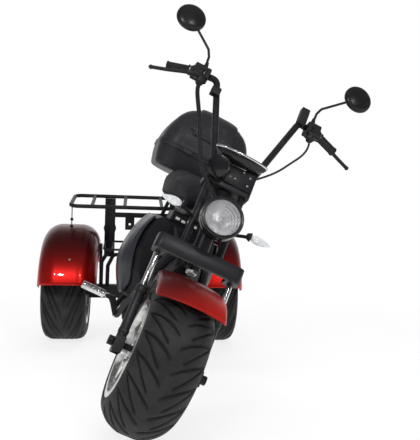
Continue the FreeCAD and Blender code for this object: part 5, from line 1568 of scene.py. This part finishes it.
# ---------------------------------------------------------------- fork
@dataclass
class Fork(Steered):
    """The fork's own pieces, its fender and the indicators."""

    blade_radius: float = 0.2555
    blade_section: tuple = (
        (-113, -28), (-113.5, -14), (-110, -3.5), (-100, 3.5), (-75, 9), (-40, 12.8), (0, 14), (40, 12.8), (75, 9),
        (100, 3.5), (110, -3.5), (113.5, -14), (113, -28),
    )
    leaf_foot: tuple = (0.1283, -0.060, 0.484)
    leaf_length: float = 0.076
    dresses: ClassVar[tuple] = (
        (Finish.BLACK_CAST, 0.0025, "fork_bridge", "top_clamp"),
        (Finish.POWDER_COAT, 0.0006, "upper_tubes", "fender_brackets", "front_axle"),
        (Finish.CHROME, 0.0006, "stanchions"),
        (Finish.BLACK_CAST, 0.0012, "sliders", "indicator_stalks"),
        (Finish.BLACK_GLOSS, 0.001, "horn"),
    )

    def blade(self) -> Shape:
        """The front fender: a crowned section with turned-down sides, carried round the wheel, its corners cut round.

        A point stands at r (sin a, cos a) ahead of and above the axle; a runs from 15 to 60 degrees,
        less near the sides.

        Returns:
            The open surface.
        """
        half, crown = curve_through(np.array(self.blade_section) * MM, 121).T
        edge = np.clip((np.abs(np.linspace(-1, 1, 121)) - 0.45) / 0.55, 0, 1) ** 2.4
        share = np.linspace(0, 1, 60)[:, None]
        start, end = np.radians(15 + 5 * edge), np.radians(60 - 11 * edge)
        angle = start + (end - start) * share
        lip = 0.0016 * np.exp(-((np.minimum(share, 1 - share) * 0.2 - 0.004) / 0.003) ** 2)
        radius = self.blade_radius + crown + lip
        return sheet_shape(surface(half, -radius * np.sin(angle), radius * np.cos(angle)))

    def leaf(self, side: int) -> Shape:
        """An indicator's lens: a spindle turned about the stalk, ribbed across, and flattened to a leaf.

        Its radius is r sin(pi t^0.62)^0.8 with a small cosine of t, and its thickness is 0.62 of its width.

        Args:
            side: 1 for the rider's left, -1 for the right.

        Returns:
            The closed lens.
        """
        share = np.linspace(0, 1, 90)[:, None]
        turn = full_turn(40)[None, :]
        ribs = 1 + 0.05 * np.cos(share * 22 * math.pi)
        radius = 0.0150 * np.sin(math.pi * share ** 0.62).clip(0) ** 0.8 * ribs + 0.0004
        foot, ahead, up = self.leaf_foot
        along = side * (foot + self.leaf_length * share)
        return capped(surface(along, ahead - 0.62 * radius * np.cos(turn), up + side * radius * np.sin(turn)))

    def build(self) -> None:
        """Adds the indicator lenses and the fender."""
        leaves = [self.leaf(side) for side in SIDES]
        self.fit("indicator_leaves", leaves, Finish.WINKER_GLASS, "lens_clear", "indicator_lenses")
        self.fit("front_blade", [self.blade()], Finish.NOSE_RED, "red_plastic", "front_fender", wall=0.003)


@dataclass
class Headlamp(Steered):
    """The headlamp's glass, reflector, bulb and trim ring, all turned about one axis."""

    up: float = 0.468
    front: float = 0.146
    glass_radius: float = 0.06
    glass_rise: float = 0.0085
    dish_radius: float = 0.0597
    bulb_profile: tuple = (
        (0, 0.092), (0.0125, 0.092), (0.0125, 0.098), (0.006, 0.101), (0.006, 0.116), (0.0035, 0.121), (0, 0.1225),
    )
    dresses: ClassVar[tuple] = ((Finish.BLACK_GLOSS, 0.001, "headlamp_shell"),)

    def turned(self, profile: np.ndarray, sides: int) -> Shape:
        """A surface of revolution about the lamp's axis."""
        return turned_shape(profile, self.up * Z_AXIS, -Y_AXIS, sides)

    def reflector(self) -> Shape:
        """A faceted dish: a paraboloid whose depth also follows a fan of flats and rings.

        The depth is d (1 - r^2) plus a small saw-tooth of the angle and the radius.

        Returns:
            The open surface.
        """
        radius = np.linspace(0.010, self.dish_radius, 52)[:, None]
        angle = full_turn(144)[None, :]
        flats = np.abs((angle * 16 / math.pi) % 1 - 0.5) * 0.0046 * (radius / self.dish_radius)
        rings = np.abs((radius / 0.0075) % 1 - 0.5) * 0.0040
        depth = 0.042 * (1 - (radius / self.dish_radius) ** 2) + flats + rings
        points = surface(radius * np.cos(angle), depth + 0.0035 - self.front, self.up + radius * np.sin(angle))
        return sheet_shape(points, False, True)

    def glass(self) -> Shape:
        """A thin domed glass, its inner face first and then its outer one.

        Returns:
            The closed surface.
        """
        rim = np.linspace(self.glass_radius, 0, 24)
        dome = self.front + self.glass_rise * (1 - (rim / self.glass_radius) ** 2)
        outer = np.stack([rim, dome - 0.0015], 1)
        inner = np.stack([rim, dome - 0.0030], 1)[::-1]
        return self.turned(np.concatenate([inner, outer]), 72)

    def build(self) -> None:
        """Adds the lamp's pieces."""
        self.fit("lamp_glass", [self.glass()], Finish.LAMP_GLASS, "lens_clear", "headlamp_lens")
        self.fit("lamp_reflector", [self.reflector()], Finish.LAMP_DISH, "chrome", wall=0.0006, smooth=False)
        self.fit("lamp_bulb", [self.turned(self.bulb_profile, 28)], Finish.WHITE_PLASTIC, "chrome")
        angle = np.linspace(0, 2 * math.pi, 13)
        ring = np.stack([0.0655 + 0.0058 * np.cos(angle), self.front - 0.001 + 0.0042 * np.sin(angle)], 1)
        self.fit("lamp_ring", [self.turned(ring, 72)], Finish.BLACK_GLOSS, "black_gloss")


@dataclass
class Dash(Steered):
    """The oval dash: its bowl, chrome frame, dark face and marks, drawn flat and then tilted."""

    tilt: float = 12.0
    middle: tuple = (0.005, 0.044, 0.748)
    half_wide: float = 0.098
    half_high: float = 0.032
    mark_ring: float = 0.0225
    bowl_profile: tuple = (
        (0.30, -0.0300), (0.55, -0.0285), (0.80, -0.0215), (0.94, -0.0115), (1.0, -0.0015), (1.0, 0.0), (0.2, 0.0),
    )
    frame_profile: tuple = (
        (0.0, 0.0005), (0.0035, 0.002), (0.0035, 0.0065), (0.001, 0.0088), (-0.004, 0.0088), (-0.009, 0.0045),
        (-0.009, 0.0005),
    )
    dresses: ClassVar[tuple] = ((Finish.POWDER_COAT, 0.0008, "handlebar", "dash_bracket"),)

    @property
    def place(self) -> Place:
        """The dash's place on the fork."""
        return self.pose.fork.after(Place(turn_matrix(X_AXIS, self.tilt), fork_point(*self.middle)))

    def bowl(self) -> Shape:
        """The bowl: an ellipse scaled by its profile's first number at the height of its second.

        Returns:
            The closed surface.
        """
        turn = full_turn(96)
        reach, height = np.array(self.bowl_profile).T[..., None]
        return capped(surface(
            self.half_wide * reach * np.cos(turn), self.half_high * reach * np.sin(turn), height,
        ))

    def frame(self) -> Shape:
        """The frame: an ellipse grown by its profile's first number at the height of its second.

        Returns:
            The ring.
        """
        turn = full_turn(96)
        grow, lift = np.array(self.frame_profile).T[..., None]
        points = surface((self.half_wide + grow) * np.cos(turn), (self.half_high + grow) * np.sin(turn), lift)
        return sheet_shape(points, True, True)

    def face(self) -> Shape:
        """The face: an ellipse 1 mm thick, from its middle outwards and back to the middle underneath.

        Returns:
            The closed surface.
        """
        angle = full_turn(72)
        share = np.linspace(0, 1, 12)[:, None]
        top = surface(0.0905 * share * np.cos(angle), 0.0245 * share * np.sin(angle), 0.0012)
        under = top[[-1, 0]] - 0.001 * Z_AXIS
        return sheet_shape(np.concatenate([top, under]), False, True)

    def marks(self) -> list[Shape]:
        """Tick marks round the face and a needle.

        Returns:
            A thin rod for each.
        """
        marks = []
        for turn in np.radians(np.linspace(200, -20, 23)):
            end = np.array([self.mark_ring * math.cos(turn), self.mark_ring * math.sin(turn), 0.0016])
            marks.append(tube_shape(np.linspace(end * [0.86, 0.86, 1.0], end, 3), 0.0004, 6))
        return marks + [tube_shape(np.linspace([0, 0, 0.0022], [-0.012, 0.013, 0.0022], 3), 0.0006, 6)]

    def build(self) -> None:
        """Adds the dash's pieces."""
        self.fit("dash_bowl", [self.bowl()], Finish.BLACK_GLOSS, "black_gloss", "dash")
        self.fit("dash_frame", [self.frame()], Finish.CHROME, "chrome", "dash_bezel")
        self.fit("dial_face", [self.face()], Finish.DIAL_BLACK, "black_gloss")
        self.fit("dial_marks", self.marks(), Finish.WHITE_PLASTIC, "chrome")


@dataclass
class Controls(Steered):
    """Ribbed grips, clamps, buttons, mirror domes, brake levers and control housings on the bars."""

    lever_path: tuple = (
        (0.226, -0.040, 1.034), (0.262, -0.030, 1.024), (0.300, -0.030, 1.012), (0.362, -0.040, 0.991),
        (0.420, -0.050, 0.975),
    )
    clamp_profile: tuple = (
        (0.0127, -0.004), (0.0185, -0.004), (0.0190, 0), (0.0185, 0.004), (0.0127, 0.004),
    )
    mirror_right: tuple = (0.366, 1.294)
    mirror_left: tuple = (0.394, 1.328)
    dresses: ClassVar[tuple] = (
        (Finish.BLACK_PLASTIC, 0.0, "switch_pods", "mirror_stalks"),
        (Finish.MIRROR, 0.0003, "mirror_glasses"),
    )

    def grip(self, side: int) -> list[Shape]:
        """A grip with 27 ribs between two collars, turned about its axis.

        Args:
            side: 1 for the rider's left, -1 for the right.

        Returns:
            The grip.
        """
        inner, outer = grip_point(side, 0.0), grip_point(side, 1.0)
        length = float(np.linalg.norm(outer - inner))
        profile = [(0.0131, 0.03 * length), (0.0205, 0.03 * length), (0.0205, 0.07 * length), (0.0168, 0.08 * length)]
        for spot in np.linspace(0.08, 0.97, 27) * length:
            profile += [(0.0156, spot), (0.0169, spot + 0.0007), (0.0169, spot + 0.0020), (0.0156, spot + 0.0026)]
        profile += [
            (0.0185, 0.985 * length), (0.0185, 1.045 * length), (0.0165, 1.06 * length), (0.0, 1.062 * length),
        ]
        return [turned_shape(profile, inner, outer - inner, 36)]

    def clamps(self, side: int) -> list[Shape]:
        """Two clamp rings round the bar, each with a screw.

        Args:
            side: 1 for the rider's left, -1 for the right.

        Returns:
            The rings and screws.
        """
        along = unit(bar_point(side, 1.0) - bar_point(side, 0.0))
        clamps = []
        for share in (0.46, 0.98):
            spot = bar_point(side, share)
            clamps.append(turned_shape(self.clamp_profile, spot, along, 32))
            clamps.append(dome_bolt(spot + fork_point(0, 0.0188, 0.0), fork_point(0, 1, 0), 0.0035))
        return clamps

    def buttons(self, side: int) -> list[Shape]:
        """Three buttons on the rider's side of a pod.

        Args:
            side: 1 for the rider's left, -1 for the right.

        Returns:
            The buttons.
        """
        return [
            dome_bolt(bar_point(side, share) + fork_point(0, -0.0235, lift), fork_point(0, -1, 0.15), 0.0045)
            for share, lift in ((0.62, 0.004), (0.72, -0.006), (0.82, 0.004))
        ]

    def dome(self, side: int) -> list[Shape]:
        """A mirror's domed back: a quarter ellipse turned about its axis, over a rim.

        Args:
            side: 1 for the rider's left, -1 for the right.

        Returns:
            The dome.
        """
        out, up = self.mirror_right if side < 0 else self.mirror_left
        angle = np.linspace(0, math.pi / 2, 22)
        dome = np.stack([0.0596 * np.cos(angle), 0.0215 * np.sin(angle) - 0.0150], 1)
        profile = np.concatenate([[(0.0570, -0.0203), (0.0600, -0.0200)], dome[:-1], [(0, 0.0065)]])
        return [turned_shape(profile, fork_point(side * out, -0.076, up), fork_point(0, 1, 0), 64)]

    def lever(self, side: int) -> list[Shape]:
        """A brake lever: a tapered tube with a ball at its end.

        Args:
            side: 1 for the rider's left, -1 for the right.

        Returns:
            The tube and the ball.
        """
        path = curve_through(np.array([fork_point(side * out, *rest) for out, *rest in self.lever_path]), 40)
        radius = np.interp(np.linspace(0, 1, 40), (0, 0.2, 0.9, 1), (0.0100, 0.0078, 0.0068, 0.0070))
        turn = np.linspace(0, math.pi, 13)
        ball = np.stack([0.0084 * np.sin(turn), -0.0084 * np.cos(turn)], 1)
        return [tube_shape(path, radius, 14), turned_shape(ball, path[-1], path[-1] - path[-2], 20)]

    def cases(self, side: int) -> list[Shape]:
        """Two control housings round the bar.

        Args:
            side: 1 for the rider's left, -1 for the right.

        Returns:
            A box for each.
        """
        outer, inner = bar_point(side, 0.70), bar_point(side, 0.40)
        return [
            block_shape(outer - [0.024, 0.026, 0.022], outer + [0.022, 0.027, 0.030]),
            block_shape(inner - [0.010, 0.034, 0.028], inner + [0.010, 0.020, 0.018]),
        ]

    def build(self) -> None:
        """Adds each kind of piece for both sides at once."""
        kinds = (
            ("ribbed_grips", self.grip, Finish.SOFT_RUBBER, "rubber", ("grips",), 0.0),
            ("bar_clamps", self.clamps, Finish.STEEL, "alloy", (), 0.0),
            ("pod_buttons", self.buttons, Finish.WHITE_PLASTIC, "black_plastic", (), 0.0),
            ("mirror_domes", self.dome, Finish.DOME_BLACK, "black_plastic", (), 0.0),
            ("brake_levers", self.lever, Finish.BLACK_PLASTIC, "black_plastic", ("levers",), 0.0),
            ("control_cases", self.cases, Finish.BLACK_PLASTIC, "black_plastic", (), 0.006),
        )
        for name, make, finish, slot, replaces, bevel in kinds:
            shapes = [shape for side in SIDES for shape in make(side)]
            self.fit(name, shapes, finish, slot, *replaces, bevel=bevel)


@dataclass
class Fasteners(Steered):
    """The bracket's and bridge's bolts, the stem nut and the fork's seal rings."""

    bracket_bolts: tuple = (
        (0.009, 0.725), (0.034, 0.710), (-0.007, 0.673), (0.012, 0.674), (0.062, 0.700), (0.062, 0.668),
    )
    nut_profile: tuple = (
        (0.0150, -0.0165), (0.0196, -0.0165), (0.0216, -0.0140), (0.0216, -0.0020), (0.0196, 0.0003),
        (0.0150, 0.0003),
    )

    def seal_ring(self, side: int, up: float) -> Shape:
        """A seal ring round a fork leg."""
        profile = [(0.0193, up - 0.003), (0.0206, up - 0.002), (0.0206, up + 0.002), (0.0193, up + 0.003)]
        return turned_shape(profile, fork_point(side * 0.1325, 0, 0), Z_AXIS, 40)

    def build(self) -> None:
        """Adds the fasteners."""
        forward = fork_point(0, 1, 0)
        bolts = [dome_bolt(fork_point(out, 0.0302, up), forward, 0.0042) for out, up in self.bracket_bolts]
        bolts += [hexagon_bolt(fork_point(side * 0.026, 0.0142, 0.672), forward, 0.0045) for side in SIDES]
        self.fit("fork_bolts", bolts, Finish.STEEL, "steel")
        nut = turned_shape(self.nut_profile, fork_point(0, -self.pose.steer_offset, 0.322), Z_AXIS, 6)
        self.fit("stem_nut", [nut], Finish.STEEL, "steel", smooth=False, bevel=0.0006)
        rings = [self.seal_ring(side, up) for side in SIDES for up in (0.176, 0.190)]
        self.fit("fork_seal_rings", rings, Finish.SOFT_RUBBER, "rubber")


# ---------------------------------------------------------------- studio
@dataclass(frozen=True)
class Panel:
    """A square area light that faces a target."""

    name: str
    spot: tuple[float, float, float]
    target: tuple[float, float, float]
    size: float
    power: float


def stand(thing: bpy.types.Object, right: np.ndarray, up: np.ndarray, back: np.ndarray, spot: np.ndarray) -> None:
    """Puts an object into the scene.

    Args:
        thing: The object.
        right: Where its X axis points.
        up: Where its Y axis points.
        back: Where its Z axis points.
        spot: Where it stands.
    """
    bpy.context.scene.collection.objects.link(thing)
    matrix = np.eye(4)
    matrix[:3] = np.stack([right, up, back, spot], 1)
    thing.matrix_world = Matrix(matrix.tolist())


@dataclass
class Studio:
    """The camera at the photograph's place, a pale floor and soft light."""

    pose: Pose
    eye: tuple[float, float, float] = (-0.0437, -3.25582, 0.73929)
    yaw: float = 6.86
    pitch: float = -2.04
    roll: float = 1.93
    lens: float = 51.64
    sensor: float = 36.0
    floor_half: float = 30.0
    floor_drop: float = 0.0005
    panels: tuple[Panel, ...] = (
        Panel("overhead", (0.0, -0.2, 3.6), (0.0, 0.0, 0.4), 2.2, 70.0),
        Panel("left_side", (-3.2, -1.0, 2.0), (0.0, 0.0, 0.6), 1.0, 45.0),
        Panel("right_side", (3.2, -0.8, 1.8), (0.0, 0.0, 0.6), 1.0, 40.0),
        Panel("spot_left", (-1.60, -3.3, 2.9), (-0.2, 0.0, 0.4), 0.14, 22.0),
        Panel("spot_mid", (-1.15, -3.3, 2.9), (-0.2, 0.0, 0.4), 0.14, 22.0),
        Panel("spot_right", (1.2, -3.3, 2.9), (0.0, 0.0, 0.4), 0.16, 30.0),
        Panel("low_front", (0.2, -4.6, 1.2), (0.0, 0.0, 0.5), 1.0, 26.0),
        Panel("behind", (0.2, 3.2, 2.0), (0.0, 0.0, 0.7), 1.6, 30.0),
    )

    def camera(self) -> None:
        """Sets the camera; the rows of its turn are its right, its view and its up directions."""
        tilt = turn_matrix(Y_AXIS, self.roll) @ turn_matrix(X_AXIS, -self.pitch)
        right, ahead, up = tilt @ turn_matrix(Z_AXIS, self.yaw)
        data = bpy.data.cameras.new("camera")
        data.sensor_width, data.sensor_fit, data.lens = self.sensor, "AUTO", self.lens
        data.clip_start, data.clip_end = 0.05, 100.0
        camera = bpy.data.objects.new("camera", data)
        stand(camera, right, up, -ahead, self.pose.rear.points(self.eye))
        bpy.context.scene.camera = camera

    def floor(self) -> None:
        """Lays a wide pale floor that looks white to the camera, to gloss and to glass."""
        mesh = bpy.data.meshes.new("floor")
        corners = [(x, y, -self.floor_drop) for x, y in ((-1, -1), (1, -1), (1, 1), (-1, 1))]
        mesh.from_pydata([(x * self.floor_half, y * self.floor_half, z) for x, y, z in corners], [], [(0, 1, 2, 3)])
        floor = bpy.data.objects.new("floor", mesh)
        bpy.context.scene.collection.objects.link(floor)
        paint = Paint("pale_floor")
        paint.set(Base_Color=paint.mix(paint.noise(3.0), (0.84, 0.84, 0.84), (0.88, 0.88, 0.88)), Roughness=0.8)
        glow = paint.node("ShaderNodeEmission", {"Color": WHITE, "Strength": 1.0})
        camera, gloss, glass = paint.rays("Camera", "Glossy", "Transmission")
        along, across, _ = paint.axes(paint.vector)
        away = (along * along + across * across).math("SQRT").ramp(1.0, 2.6)
        share = (camera + gloss + glass).math("MINIMUM", 1.0) * (away * 0.2 + 0.8)
        blend = paint.node("ShaderNodeMixShader", {0: share, 1: paint.shader.outputs[0], 2: glow.outputs[0]})
        paint.feed(paint.output.inputs["Surface"], blend.outputs[0])
        mesh.materials.append(paint.material)
        floor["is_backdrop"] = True

    def world(self) -> None:
        """Gives a white surround to the camera, and to the rest a room that is white behind and dim in front."""
        world = bpy.data.worlds.new("surround")
        world.use_nodes = True
        net = Net(world.node_tree)
        _, back, _ = net.axes(net.node("ShaderNodeTexCoord").outputs["Generated"])
        level = back.ramp(0.50, 0.95, 0.16, 1.0)
        for seen in net.rays("Camera", "Transmission"):
            level = level.math("MAXIMUM", seen)
        surround = net.node("ShaderNodeBackground", {"Color": WHITE, "Strength": level})
        net.node("ShaderNodeOutputWorld", {"Surface": surround.outputs[0]})
        bpy.context.scene.world = world

    def lights(self) -> None:
        """Hangs soft panels that gloss doesn't mirror, and three small bright spots that it does."""
        for panel in self.panels:
            data = bpy.data.lights.new(panel.name, "AREA")
            data.size, data.energy = panel.size, panel.power
            light = bpy.data.objects.new(panel.name, data)
            back = unit(np.array(panel.spot) - panel.target)
            right = unit(np.cross(Z_AXIS if abs(back[2]) < 0.99 else Y_AXIS, back))
            stand(light, right, np.cross(back, right), back, panel.spot)
            light.visible_glossy = panel.size < 1.0

    def build(self) -> None:
        """Sets up everything round the object."""
        self.camera()
        self.floor()
        self.world()
        self.lights()
        bpy.context.scene.view_settings.view_transform = "Standard"


def corners() -> list[list[float]]:
    """The shown object's box as plain lists."""
    return [[float(value) for value in corner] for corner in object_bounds()]


def main() -> None:
    """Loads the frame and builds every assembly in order."""
    logging.basicConfig(level=logging.INFO, format="%(message)s")
    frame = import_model()
    pose = Pose(frame["record"]["behaviour"]["joints"])
    shop = Workshop(frame["nodes"])
    Studio(pose).build()
    groups = (
        Cords, Wheels, RearUnit, Hull, Saddle, TopCase, Controller, FootPegs,
        Fork, Headlamp, Dash, Controls, Fasteners,
    )
    for group in groups:
        LOG.info("building %s", group.__name__)
        assembly = group(shop, pose)
        assembly.dress()
        assembly.build()
    LOG.info("%d pieces made", shop.count)


if __name__ == "__main__":
    main()
